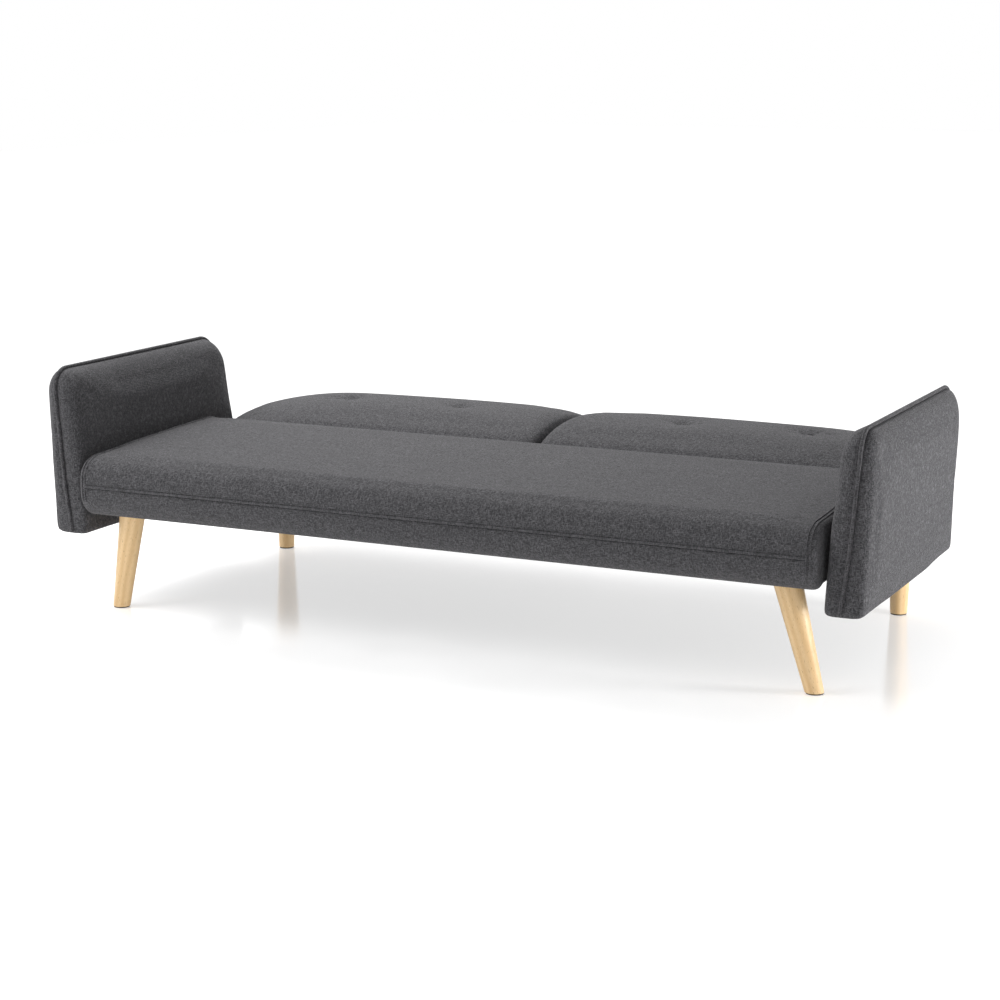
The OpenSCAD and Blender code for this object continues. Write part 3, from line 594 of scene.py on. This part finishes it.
right_pad = back_pad("right_back_upholstery")
puff(right_pad, back_held, pressure=1.1, cap=0.022, voxel=0.006)
relax(right_pad, 5, back=0.52)
nudge(right_pad, dimple)
left_pad = mirrored(right_pad, "left_back_upholstery")
for side, pad in (("right", right_pad), ("left", left_pad)):
    finer(pad)
    wear(f"{side}_back", pad, f"{side}_back_cover", f"{side}_back_foam", fill=0.8)
crown_at = float(read_points(right_pad.data)[:, 2].max())
print("crown of a half at", round(crown_at, 4), "m, frame", round(CROWN_Z, 4))

# %% [markdown]
# ## Covered buttons
#
# A covered button is a shallow dome with a rolled rim, sitting at the bottom of its dimple. Its profile is
# turned about an upright axis.


# %% Buttons
def turned(name, profile, centre, around=40):
    """A solid of revolution: (radius, height) points carried round an upright axis. The first and last
    radius is 0."""
    profile = np.asarray(profile, float)
    turn = np.linspace(0, 2 * np.pi, around, endpoint=False)
    r, z = profile[1:-1, 0], profile[1:-1, 1]
    rings = np.stack(
        [r[:, None] * np.cos(turn), r[:, None] * np.sin(turn), np.repeat(z[:, None], around, 1)], -1
    ).reshape(-1, 3)
    points = np.vstack([rings, [[0, 0, profile[0, 1]], [0, 0, profile[-1, 1]]]]) + np.asarray(centre)
    faces = grid_faces(len(r), around, wrap_cols=True)
    first, last = len(rings), len(rings) + 1
    end = (len(r) - 1) * around
    faces += [[first, (k + 1) % around, k] for k in range(around)]
    faces += [[last, end + k, end + (k + 1) % around] for k in range(around)]
    return outward(mesh_piece(name, points, faces))


def button(name, x):
    """Dome, rolled rim and flat underside, standing on the pad where the threads pull it down."""
    seat_at = onto(right_pad, [(x, BUTTON_Y, CROWN_Z)])[0]
    dome = arc((0, -0.006), (BUTTON_R - 0.0012, 0.0125), 90, 22, 10)
    rim = arc((BUTTON_R - 0.0022, -0.0012), 0.0022, 40, -90, 8)
    profile = np.vstack([[[0, dome[0, 1]]], dome[1:], rim, [[0, -0.0034]]])
    return turned(name, profile, (x, BUTTON_Y, seat_at[2] + 0.0030))


right_buttons = join("right_back_covered_buttons", [button(f"button_{x:.3f}", x) for x in BUTTON_XS])
left_buttons = mirrored(right_buttons, "left_back_covered_buttons")
for side, piece in (("right", right_buttons), ("left", left_buttons)):
    wear(f"{side}_back", piece, f"{side}_back_buttons")
print("buttons at x", [round(x, 3) for x in BUTTON_XS], "y", round(BUTTON_Y, 3))

# %% [markdown]
# ## The arms
#
# An arm is an upholstered slab that leans outwards: two padded faces meet at a line of piping that runs up
# the front, over the top and down the back. From the side it is a rounded rectangle, so the surface is made
# of loops that start on the piping line and draw in towards a spine in the middle while they swell out to
# the faces.

# %% Arm sizes
arm_low, arm_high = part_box("right_arm_cover")
ARM_Z = arm_low.z
ARM_TOP = arm_high.z
ARM_Y0, ARM_Y1 = arm_low.y, arm_high.y
ARM_IN = arm_low.x
PIPE_R = 0.0042
# How far out each face and the piping line stand at some heights over the arm's bottom, from its inner
# bottom edge
HEIGHTS = np.array([0.000, 0.073, 0.153, 0.238, 0.300, 0.345, 0.375, 0.400])
INNER = np.array([0.000, 0.004, 0.008, 0.013, 0.018, 0.023, 0.029, 0.036])
PIPED = np.array([0.037, 0.048, 0.057, 0.064, 0.069, 0.073, 0.074, 0.074])
OUTER = np.array([0.089, 0.094, 0.099, 0.104, 0.107, 0.107, 0.105, 0.101])
# Depth of each face's rounding at the front, top, rear and bottom of the arm, and how boxy it is there: 1
# is an ellipse, and a smaller number keeps the edge flat for longer before it turns
INNER_ROUND = (0.020, 0.070, 0.030, 0.010)
OUTER_ROUND = (0.028, 0.046, 0.060, 0.010)
BOXY = (0.60, 1.0, 0.80, 0.45)
REAR_RAKE = -3.0
REAR_FOOT = 0.0167


def across(z, row):
    """Distance out of a face or the piping line at height z, smoothed between the known heights."""
    fine = np.linspace(HEIGHTS[0], HEIGHTS[-1], 200)
    value = np.interp(fine, HEIGHTS, row)
    kernel = np.hanning(61)
    value = np.convolve(np.pad(value, 30, mode="reflect", reflect_type="odd"), kernel / kernel.sum(), "valid")
    return ARM_IN + np.interp(z - ARM_Z, fine, value)


def arm_outline(grow=0.0):
    """An arm from the side as (y, z) points: small corners at the bottom, a front corner of 46 mm and a
    rear corner of 64 mm on an edge that slopes back a little to its foot, all moved outwards by grow."""
    rake = REAR_RAKE
    front, rear, foot = 0.046, 0.064, 0.009
    top = ARM_TOP - PIPE_R - 0.002
    rear_at = (ARM_Y1 - REAR_FOOT - rear, top - rear)
    edge = arc(rear_at, rear, -rake, -rake, 1)[0]
    heel = edge[0] - (edge[1] - ARM_Z - foot) * math.tan(math.radians(rake)) - foot
    loop = np.vstack([
        arc((ARM_Y0 + foot, ARM_Z + foot), foot + grow, 270, 180, 6),
        arc((ARM_Y0 + front, top - front), front + grow, 180, 90, 12),
        arc(rear_at, rear + grow, 90, -rake, 16),
        arc((heel, ARM_Z + foot), foot + grow, -rake, -90, 6),
    ])
    return loop


def arm_spine(y):
    """The nearest points (y, z) of the short level line in an arm's middle, which its loops draw in
    towards."""
    return np.c_[np.clip(y, ARM_Y0 + 0.19, ARM_Y1 - 0.21), np.full(len(y), (ARM_Z + ARM_TOP) / 2)]


def arm_slab(name, swell):
    """Loops from the spine of the inner face, out to the piping line and back to the spine of the outer
    face. Near the line each loop draws in by R (1 - cos t) while it moves to the face by sin t, a quarter
    ellipse; both the cosine and the sine are raised to the power boxy."""
    loop = arm_outline(-0.001)
    edge = resample(np.vstack([loop, loop[:1]]), 0.008)[:-1]
    spine = arm_spine(edge[:, 0])
    reach = np.linalg.norm(spine - edge, axis=1)
    inwards = (spine - edge) / reach[:, None]
    front_to_rear, up_and_down = inwards[:, 0], inwards[:, 1]
    shares = np.clip(np.stack([front_to_rear, -up_and_down, -front_to_rear, up_and_down], 1), 0, 1)
    shares /= shares.sum(1, keepdims=True)
    boxy = shares @ np.array(BOXY)
    t = np.radians([0, 2, 6, 12, 20, 30, 40, 50, 60, 70, 78, 84, 88, 90])
    rings = []
    for row, rounding, sign in ((INNER, INNER_ROUND, 1), (OUTER, OUTER_ROUND, -1)):
        depth = shares @ np.array(rounding)
        draws = [(depth * (1 - math.cos(a) ** boxy), math.sin(a) ** boxy) for a in t]
        draws += [(depth + (reach * 0.96 - depth) * k, 1.0) for k in np.linspace(0, 1, 12)[1:]]
        made = []
        for draw, share in draws:
            at = edge + inwards * draw[:, None]
            line = across(at[:, 1], PIPED)
            face = across(at[:, 1], row) + sign * swell
            made.append(np.c_[line + (face - line) * share, at])
        rings += made[::-1] if sign > 0 else made[1:]
    n = len(edge)
    faces = grid_faces(len(rings), n, wrap_cols=True)
    last = (len(rings) - 1) * n
    faces += [list(range(n)), list(range(last + n - 1, last - 1, -1))]
    return outward(mesh_piece(name, np.vstack(rings), faces))


pipe_path = resample(arm_outline(0.0), 0.006)
pipe_path = pipe_path[pipe_path[:, 1] > ARM_Z + 0.005]
pipe_line = np.c_[across(pipe_path[:, 1], PIPED), pipe_path]


def line_distance(p):
    """Each point's distance from the piping line."""
    tree = KDTree(len(pipe_line))
    for k, q in enumerate(pipe_line):
        tree.insert(q, k)
    tree.balance()
    return np.array([tree.find(q)[2] for q in p])


def arm_held(p):
    """An arm's skin is sewn in at the piping, stapled underneath, and pressed flat against the seat."""
    low = p[:, 2] < ARM_Z + 0.014
    inside = (p[:, 0] < across(p[:, 2], INNER) + 0.008) & (p[:, 2] < SEAT_TOP - 0.02)
    return np.where(low | inside | (line_distance(p) < 0.007), 1.0, 0.0)


def welt(p):
    """The cover dips beside the piping: a narrow bell about the line, moved towards the arm's spine."""
    d = line_distance(p)
    spine = np.c_[across(p[:, 2], PIPED), arm_spine(p[:, 1])]
    inwards = (spine - p) / np.linalg.norm(spine - p, axis=1, keepdims=True)
    above = np.clip((p[:, 2] - ARM_Z - 0.01) / 0.02, 0, 1)
    return inwards * (0.0028 * np.exp(-((d / 0.0075) ** 2)) * above)[:, None]


right_arm = arm_slab("right_arm_upholstery", 0.003)
puff(right_arm, arm_held, pressure=0.9, cap=0.007, voxel=0.006)
relax(right_arm, 14, back=0.52)
nudge(right_arm, welt)
left_arm = mirrored(right_arm, "left_arm_upholstery")
for side, arm in (("right", right_arm), ("left", left_arm)):
    finer(arm)
    padding = [f"{side}_arm_{part}" for part in ("cover", "inner_foam", "outer_foam")]
    wear("base", arm, *padding, fill=0.9)

# %% [markdown]
# ## Piping
#
# Piping is a cord wrapped in a strip of the same cloth and sewn into the seam. It is a round section swept
# along the line where an arm's two faces meet, and it ends under the arm at the front and the rear.

# %% Piping
right_piping = sweep("right_arm_cord", pipe_line, PIPE_R, sides=14, up=(1, 0, 0))
left_piping = mirrored(right_piping, "left_arm_cord")
for side, piece in (("right", right_piping), ("left", left_piping)):
    wear("base", piece, f"{side}_arm_piping")
run = np.linalg.norm(np.diff(pipe_line, axis=0), axis=1).sum()
print("piping", round(float(run), 3), "m on each arm")

# %% [markdown]
# ## The base behind the seat, and the cloth underneath
#
# The rear part of the base is low, and stays covered when the back lies over it. Its cover is a shallow
# tray turned upside down, so it is one closed wall made from a rounded plan carried up and over. A thin
# black cloth is stapled under the frame to keep dust out. It is one flat sheet, hanging down a little
# between its staples.

# %% Base cover
tray_low, tray_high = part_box("base_cover")
TRAY_WALL = 0.002


def tray(name, wall=TRAY_WALL, corner=0.006):
    """Loops of the plan outline: up the outside, over the top edge to the middle, and back down the
    inside."""

    def plan(inset, z):
        r = max(corner - inset, 0.0006)
        corners = ((tray_high.x, tray_high.y, 0), (-tray_high.x, tray_high.y, 90),
                   (-tray_high.x, tray_low.y, 180), (tray_high.x, tray_low.y, 270))
        loop = [
            arc((x - math.copysign(inset + r, x), y - (inset + r) * (1 if a < 180 else -1)), r, a, a + 90, 5)
            for x, y, a in corners
        ]
        loop = np.vstack(loop)
        return np.c_[loop, np.full(len(loop), z)]

    top = tray_high.z
    outside = [plan(0, tray_low.z), plan(0, top - corner)]
    turn = np.linspace(0, math.pi / 2, 6)[1:]
    outside += [plan(corner * (1 - math.cos(a)), top - corner * (1 - math.sin(a))) for a in turn]
    middle = [plan(d, top) for d in (0.03, 0.08, 0.12)]
    under = [plan(d, top - wall) for d in (0.12, 0.08, 0.03, wall)] + [plan(wall, tray_low.z)]
    loops = outside + middle
    n = len(loops[0])
    both = loops + under
    faces = grid_faces(len(loops), n, wrap_cols=True)
    start = len(loops) * n
    inner = np.array(grid_faces(len(under), n, wrap_cols=True)) + start
    faces += inner.tolist()
    faces.append(list(range(start - 1, start - n - 1, -1)))
    faces.append(list(range(start, start + n)))
    end = (len(both) - 1) * n
    faces += [[k, (k + 1) % n, end + (k + 1) % n, end + k] for k in range(n)]
    return outward(mesh_piece(name, np.vstack(both), faces))


wear("base", tray("base_tail_cover"), "base_cover")
print("tail cover", [round(1000 * v) for v in (2 * tray_high.x, tray_high.y - tray_low.y)], "mm")

# %% Dust cloth
dust_low, dust_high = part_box("dust_cloth")
nx, ny = 175, 85
u, v = np.meshgrid(np.linspace(-1, 1, nx), np.linspace(-1, 1, ny), indexing="ij")
centre = (dust_low + dust_high) / 2
half = (dust_high - dust_low) / 2
sag = 0.0022 * (1 - u**2) * (1 - v**2) * (1 + 0.25 * np.sin(9 * u) * np.sin(5 * v + 1))
cloth_points = np.stack([centre.x + half.x * u, centre.y + half.y * v, dust_low.z - 0.0002 - sag], -1)
cloth_points = cloth_points.reshape(-1, 3)
squares = np.array(grid_faces(nx, ny))
middles = cloth_points[squares].mean(1)
PLATE_HALF, LEG_TOP_R = 0.0335, 0.0295
front_leg, back_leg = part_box("front_right_leg"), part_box("back_right_leg")
leg_tops = [(front_leg[0].x + LEG_TOP_R, front_leg[0].y + LEG_TOP_R),
            ((back_leg[0].x + back_leg[1].x) / 2, (back_leg[0].y + back_leg[1].y) / 2)]
clear = np.ones(len(squares), bool)
for x, y in leg_tops:
    beside = np.maximum(np.abs(np.abs(middles[:, 0]) - x), np.abs(middles[:, 1] - y))
    clear &= beside > PLATE_HALF + 0.006
cloth = mesh_piece("dust_cover_cloth", cloth_points, squares[clear])
thickness = cloth.modifiers.new("thickness", "SOLIDIFY")
thickness.thickness = 0.0006
thickness.offset = 1
apply_modifiers(cloth)
outward(cloth)
wear("base", cloth, "dust_cloth", finish="dust_cloth")
print("dust cloth", round(2 * half.x, 3), "by", round(2 * half.y, 3), "m")

# %% [markdown]
# ## Finishes
#
# Every finish is built from shader nodes on Object coordinates, so a pattern keeps its real size whatever
# the piece. Effects that several finishes share are node groups: a weave, a wood grain, and the slight
# unevenness that handling and machining leave. The groups only put out masks and heights. Each material
# mixes its own colours from them.


# %% Node helpers
def put(tree, kind, inputs=None, **settings):
    """A node with its settings and inputs. An input is a value, or a socket to link from."""
    node = tree.nodes.new(kind)
    for key, value in settings.items():
        setattr(node, key, value)
    for key, value in (inputs or {}).items():
        if isinstance(value, bpy.types.NodeSocket):
            tree.links.new(value, node.inputs[key])
        else:
            node.inputs[key].default_value = value
    return node


def maths(tree, operation, a, b=0.0):
    return put(tree, "ShaderNodeMath", {0: a, 1: b}, operation=operation).outputs[0]


def times(tree, a, b):
    return maths(tree, "MULTIPLY", a, b)


def plus(tree, a, b):
    return maths(tree, "ADD", a, b)


def noise(tree, vector, scale, detail=3.0, roughness=0.55):
    """Smooth noise between 0 and 1."""
    values = {"Vector": vector, "Scale": scale, "Detail": detail, "Roughness": roughness}
    return put(tree, "ShaderNodeTexNoise", values).outputs["Fac"]


def stretch(tree, vector, scale, turn=(0, 0, 0)):
    """The same coordinates turned and scaled, so that a pattern grows longer one way."""
    values = {"Vector": vector, "Rotation": turn, "Scale": scale}
    return put(tree, "ShaderNodeMapping", values).outputs["Vector"]


def ramp(tree, value, low, high, out_low=0.0, out_high=1.0):
    """Value between low and high, spread over out_low to out_high and clamped."""
    settings = {"Value": value, "From Min": low, "From Max": high, "To Min": out_low, "To Max": out_high}
    return put(tree, "ShaderNodeMapRange", settings).outputs["Result"]


def mix(tree, fac, a, b):
    """A colour between a and b."""
    node = put(tree, "ShaderNodeMix", {"Factor": fac}, data_type="RGBA")
    for index, colour in ((6, a), (7, b)):
        if isinstance(colour, bpy.types.NodeSocket):
            tree.links.new(colour, node.inputs[index])
        else:
            node.inputs[index].default_value = colour
    return node.outputs[2]


def linear(red, green, blue):
    """A colour given as 0 to 255 on a screen, as the linear light that shaders use."""
    screen = np.array([red, green, blue]) / 255
    light = np.where(screen <= 0.04045, screen / 12.92, ((screen + 0.055) / 1.055) ** 2.4)
    return (*light.tolist(), 1.0)


def toned(colour, share):
    """A colour made darker or lighter by a share."""
    return (*(min(share * c, 1.0) for c in colour[:3]), 1.0)


def effect(name, inputs, outputs):
    """An empty node group with named inputs (name: default) and outputs, and its two end nodes."""
    tree = bpy.data.node_groups.new(name, "ShaderNodeTree")
    for key, value in inputs.items():
        kind = "NodeSocketVector" if key == "Vector" else "NodeSocketFloat"
        socket = tree.interface.new_socket(key, in_out="INPUT", socket_type=kind)
        if value is not None:
            socket.default_value = value
    for key in outputs:
        tree.interface.new_socket(key, in_out="OUTPUT", socket_type="NodeSocketFloat")
    return tree, tree.nodes.new("NodeGroupInput").outputs, tree.nodes.new("NodeGroupOutput").inputs


def use(tree, group, inputs):
    """A shared effect placed in a material with its own values."""
    return put(tree, "ShaderNodeGroup", inputs, node_tree=group).outputs


def material(name):
    """A new node material: its tree, its shader and its Object coordinates."""
    made = bpy.data.materials.new(name)
    made.use_nodes = True
    tree = made.node_tree
    shader = next(n for n in tree.nodes if n.type == "BSDF_PRINCIPLED")
    return made, tree, shader, put(tree, "ShaderNodeTexCoord").outputs["Object"]


def rough_and_bump(tree, shader, rough, height, strength, distance):
    """Feeds the shader's roughness and a bump from a height."""
    if rough is not None:
        tree.links.new(rough, shader.inputs["Roughness"])
    bump = put(tree, "ShaderNodeBump", {"Height": height, "Strength": strength, "Distance": distance})
    tree.links.new(bump.outputs["Normal"], shader.inputs["Normal"])


print("node helpers ready")

# %% [markdown]
# ### Shared effects
#
# A plain weave is threads going over and under each other. Sine waves along the three axes add up to rows
# of small humps on a face that points any way, and noise bends the rows, as yarn of uneven thickness does.
# Wood is rings about a long axis, stretched noise for its fibres, and short dark dashes for its pores.

# %% Weave, grain and unevenness
weave_values = {"Vector": None, "Threads": 700.0, "Bend": 0.35}
weave, into, out = effect("cloth_weave", weave_values, ("Height", "Yarn", "Patches"))
bent = noise(weave, into["Vector"], 90.0, 2.0)
turns = []
for axis in ("X", "Y", "Z"):
    split = put(weave, "ShaderNodeSeparateXYZ", {0: into["Vector"]}).outputs[axis]
    phase = times(weave, split, times(weave, into["Threads"], 2 * math.pi))
    turns.append(maths(weave, "SINE", plus(weave, phase, times(weave, bent, 9.0))))
hump = plus(weave, plus(weave, turns[0], turns[1]), turns[2])
fuzz = noise(weave, into["Vector"], 1500.0, 2.0)
height = plus(weave, ramp(weave, hump, -2.2, 2.2), times(weave, fuzz, into["Bend"]))
weave.links.new(height, out["Height"])
across_yarn = noise(weave, stretch(weave, into["Vector"], (1.0, 0.28, 0.28)), 500.0, 2.0, 0.65)
along_yarn = noise(weave, stretch(weave, into["Vector"], (0.28, 1.0, 1.0)), 500.0, 2.0, 0.65)
yarn = maths(weave, "MAXIMUM", across_yarn, along_yarn)
weave.links.new(ramp(weave, yarn, 0.46, 0.68), out["Yarn"])
weave.links.new(ramp(weave, noise(weave, into["Vector"], 55.0, 4.0, 0.7), 0.32, 0.68), out["Patches"])

grain_values = {"Vector": None, "Rings": 130.0, "Fibres": 1.0}
grain, into, out = effect("wood_grain", grain_values, ("Rings", "Fibres", "Pores"))
bowed = noise(grain, stretch(grain, into["Vector"], (1, 1, 0.14)), 14.0, 2.0)
PITH = (0.11, 0.07, 0.0)
shifted = put(grain, "ShaderNodeVectorMath", {0: into["Vector"], 1: PITH}, operation="ADD").outputs[0]
flat = stretch(grain, shifted, (1, 1, 0.05))
away = put(grain, "ShaderNodeVectorMath", {0: flat}, operation="LENGTH").outputs["Value"]
turns = times(grain, away, times(grain, into["Rings"], 2 * math.pi))
year = maths(grain, "SINE", plus(grain, turns, times(grain, bowed, 11.0)))
grain.links.new(ramp(grain, year, -0.9, 1.0), out["Rings"])
fibre = noise(grain, stretch(grain, into["Vector"], (1, 1, 0.025)), 900.0, 3.0, 0.7)
grain.links.new(times(grain, ramp(grain, fibre, 0.3, 0.75), into["Fibres"]), out["Fibres"])
pore = noise(grain, stretch(grain, into["Vector"], (1, 1, 0.075)), 760.0, 1.0, 0.5)
grain.links.new(ramp(grain, pore, 0.66, 0.74), out["Pores"])

uneven, into, out = effect("handling", {"Vector": None, "Size": 30.0}, ("Blotches", "Scratches"))
blotch = noise(uneven, into["Vector"], into["Size"], 5.0, 0.65)
uneven.links.new(ramp(uneven, blotch, 0.3, 0.7), out["Blotches"])
scratch = noise(uneven, stretch(uneven, into["Vector"], (1, 0.03, 0.5), (0.3, 0.2, 0.6)), 1400.0, 2.0, 0.6)
uneven.links.new(ramp(uneven, scratch, 0.58, 0.72), out["Scratches"])
print("effects:", [g.name for g in bpy.data.node_groups])

# %% [markdown]
# ### Charcoal cloth
#
# The cover is a melange: dark yarns spun with lighter fibres, so from near it is speckled and from afar an
# even charcoal. Its short fuzz catches light at a low angle, which is what makes the seat's top look paler
# than the faces that turn to the eye. Sheen does that, and its amount is set on the shader itself.


# %% Cloth materials
def cloth_material(name, dark, pale, threads, bump, sheen):
    made, tree, shader, at = material(name)
    worn = use(tree, weave, {"Vector": at, "Threads": threads})
    body = mix(tree, worn["Yarn"], dark, pale)
    colour = mix(tree, times(tree, worn["Patches"], 0.30), body, toned(dark, 0.86))
    tree.links.new(colour, shader.inputs["Base Color"])
    rough_and_bump(tree, shader, ramp(tree, worn["Yarn"], 0, 1, 0.94, 0.82), worn["Height"], bump, 0.0011)
    shader.inputs["Sheen Weight"].default_value = sheen
    shader.inputs["Sheen Roughness"].default_value = 0.55
    shader.inputs["Sheen Tint"].default_value = (1.0, 0.98, 1.0, 1.0)
    shader.inputs["Specular IOR Level"].default_value = 0.25
    return made


CHARCOAL, PALE_FIBRE = linear(45, 45, 47), linear(98, 97, 100)
palette = {
    "charcoal_fabric": cloth_material("charcoal_melange", CHARCOAL, PALE_FIBRE, 560.0, 0.7, 0.10),
    # The thread's colours are its own charcoal, darkened as painted shade of the band's grooves.
    "seam_thread_painted_shade": cloth_material("seam_thread_painted_shade", linear(44, 44, 46), linear(74, 74, 77), 1500.0, 0.3, 0.2),
    "dust_cloth": cloth_material("dust_cloth", linear(20, 20, 22), linear(38, 38, 41), 900.0, 0.3, 0.1),
    "webbing": cloth_material("elastic_webbing", linear(38, 38, 40), linear(120, 116, 106), 420.0, 0.8, 0.1),
}


# %% Wood materials
def wood_material(name, pale, deep, pore, lean=0.0, rings=60.0, rough=(0.42, 0.58), coat=0.0):
    """Wood with its grain along Z, leaning by a few degrees where the piece does."""
    made, tree, shader, at = material(name)
    leaning = stretch(tree, at, (1, 1, 1), (0, math.radians(lean), 0))
    seen = use(tree, grain, {"Vector": leaning, "Rings": rings})
    colour = mix(tree, times(tree, seen["Rings"], 0.55), pale, deep)
    colour = mix(tree, times(tree, seen["Fibres"], 0.35), colour, toned(deep, 0.8))
    colour = mix(tree, times(tree, seen["Pores"], 0.75), colour, pore)
    tree.links.new(colour, shader.inputs["Base Color"])
    height = maths(tree, "SUBTRACT", seen["Fibres"], seen["Pores"])
    rough_and_bump(tree, shader, ramp(tree, seen["Fibres"], 0, 1, *rough), height, 0.25, 0.0004)
    shader.inputs["Coat Weight"].default_value = coat
    shader.inputs["Coat Roughness"].default_value = 0.3
    return made


LEG_COLOURS = (linear(233, 200, 150), linear(208, 168, 112), linear(150, 108, 62))
for finish, lean in (("leg_wood", 0.0), ("leg_wood_right", 13.4), ("leg_wood_left", -13.4)):
    palette[finish] = wood_material(finish, *LEG_COLOURS, lean=lean, coat=0.25)
TIMBER = (linear(214, 178, 128), linear(178, 136, 86), linear(120, 84, 50))
SAWN = (0.6, 0.8)
palette["frame_timber"] = wood_material("frame_timber", *TIMBER, lean=90.0, rings=45.0, rough=SAWN)
palette["plywood"] = wood_material("arm_plywood", *TIMBER, rings=25.0, rough=SAWN)


# %% Metal, foam, rubber and plastic
def plain_material(name, base, other, size, rough, metal=0.0, bump=0.1, scratches=0.3):
    """A finish with blotches of a second tone, fine scratches, and roughness and bump that follow the
    blotches.
    """
    made, tree, shader, at = material(name)
    marks = use(tree, uneven, {"Vector": at, "Size": size})
    colour = mix(tree, marks["Blotches"], base, other)
    colour = mix(tree, times(tree, marks["Scratches"], scratches), colour, toned(base, 1.4))
    tree.links.new(colour, shader.inputs["Base Color"])
    rough_and_bump(tree, shader, ramp(tree, marks["Blotches"], 0, 1, *rough), marks["Blotches"], bump, 0.0003)
    shader.inputs["Metallic"].default_value = metal
    return made


PLAIN_FINISHES = {
    "hinge_steel": ((92, 94, 98), (74, 75, 79), 160.0, (0.34, 0.5), 1.0),
    "zinc_steel": ((182, 184, 188), (150, 152, 158), 220.0, (0.25, 0.42), 1.0),
    "spring_steel": ((120, 122, 126), (86, 86, 90), 260.0, (0.3, 0.5), 1.0),
    "glide_plastic": ((52, 42, 34), (40, 33, 28), 300.0, (0.45, 0.6)),
    "stop_rubber": ((30, 30, 31), (22, 22, 23), 120.0, (0.75, 0.9)),
    "foam": ((236, 226, 196), (222, 208, 170), 700.0, (0.95, 1.0), 0.0, 0.8),
}
for finish, (base, other, *rest) in PLAIN_FINISHES.items():
    palette[finish] = plain_material(finish, linear(*base), linear(*other), *rest)
print(len(palette), "finishes")

# %% Finishes on the pieces
LEG_FINISHES = {"front_right_leg": "leg_wood_right", "front_left_leg": "leg_wood_left"}
for part in frame["record"]["subparts"]:
    finish = LEG_FINISHES.get(part["node"], part["material_slot"])
    solid = frame["nodes"][part["node"]]
    if not solid.material_slots:
        solid.data.materials.append(palette[finish])
    for place in solid.material_slots:
        place.material = palette[finish]
for finish, made in finishes.items():
    for piece in made:
        piece.data.materials.clear()
        piece.data.materials.append(palette[finish])

# %% [markdown]
# ## Floor and light
#
# The bed stands on a white, faintly polished floor under a white sky, so its shadows are soft and it is
# mirrored a little. A large soft light shines from the upper left front, a weaker one from the upper left
# rear, and a small low one lights the right arm's outer face.

# %% Floor
corners = [(-14, -9, 0), (14, -9, 0), (14, 26, 0), (-14, 26, 0)]
floor = mesh_piece("floor", corners, [(0, 1, 2, 3)], smooth=False)
made, tree, shader, at = material("white_floor")
speck = noise(tree, at, 3.0, 3.0)
white = mix(tree, ramp(tree, speck, 0.3, 0.7), (0.93, 0.93, 0.93, 1), (0.97, 0.97, 0.97, 1))
tree.links.new(white, shader.inputs["Base Color"])
polish = ramp(tree, speck, 0.3, 0.7, 0.10, 0.16)
rough_and_bump(tree, shader, polish, noise(tree, at, 38.0, 2.0), 0.05, 0.0004)
shader.inputs["IOR"].default_value = 1.7
shader.inputs["Emission Color"].default_value = (1, 1, 1, 1)
shader.inputs["Emission Strength"].default_value = 0.34
floor.data.materials.append(made)


# %% Lights
def soft_light(name, place, target, size, power):
    """A square light that shines from a place towards a target."""
    lamp = bpy.data.objects.new(name, bpy.data.lights.new(name, "AREA"))
    lamp.data.shape = "SQUARE"
    lamp.data.size = size
    lamp.data.energy = power
    lamp.location = place
    lamp.rotation_euler = (Vector(target) - Vector(place)).to_track_quat("-Z", "Y").to_euler()
    bpy.context.scene.collection.objects.link(lamp)
    return lamp


SKY = 0.46
world = bpy.data.worlds.new("white_room")
world.use_nodes = True
path = put(world.node_tree, "ShaderNodeLightPath").outputs
seen = maths(world.node_tree, "MAXIMUM", path["Is Camera Ray"], path["Is Glossy Ray"])
sky = world.node_tree.nodes["Background"].inputs
sky["Color"].default_value = (1, 1, 1, 1)
world.node_tree.links.new(ramp(world.node_tree, seen, 0, 1, SKY, 1.0), sky["Strength"])
bpy.context.scene.world = world
bpy.context.scene.view_settings.view_transform = "Standard"
soft_light("key_light", (-2.4, -1.8, 3.2), (-0.2, 0.0, 0.3), 2.6, 128)
soft_light("top_light", (-1.2, 1.4, 2.6), (-0.5, 0.1, 0.4), 1.8, 62)
soft_light("side_light", (2.7, 0.1, 0.34), (0.98, -0.1, 0.34), 0.5, 36)
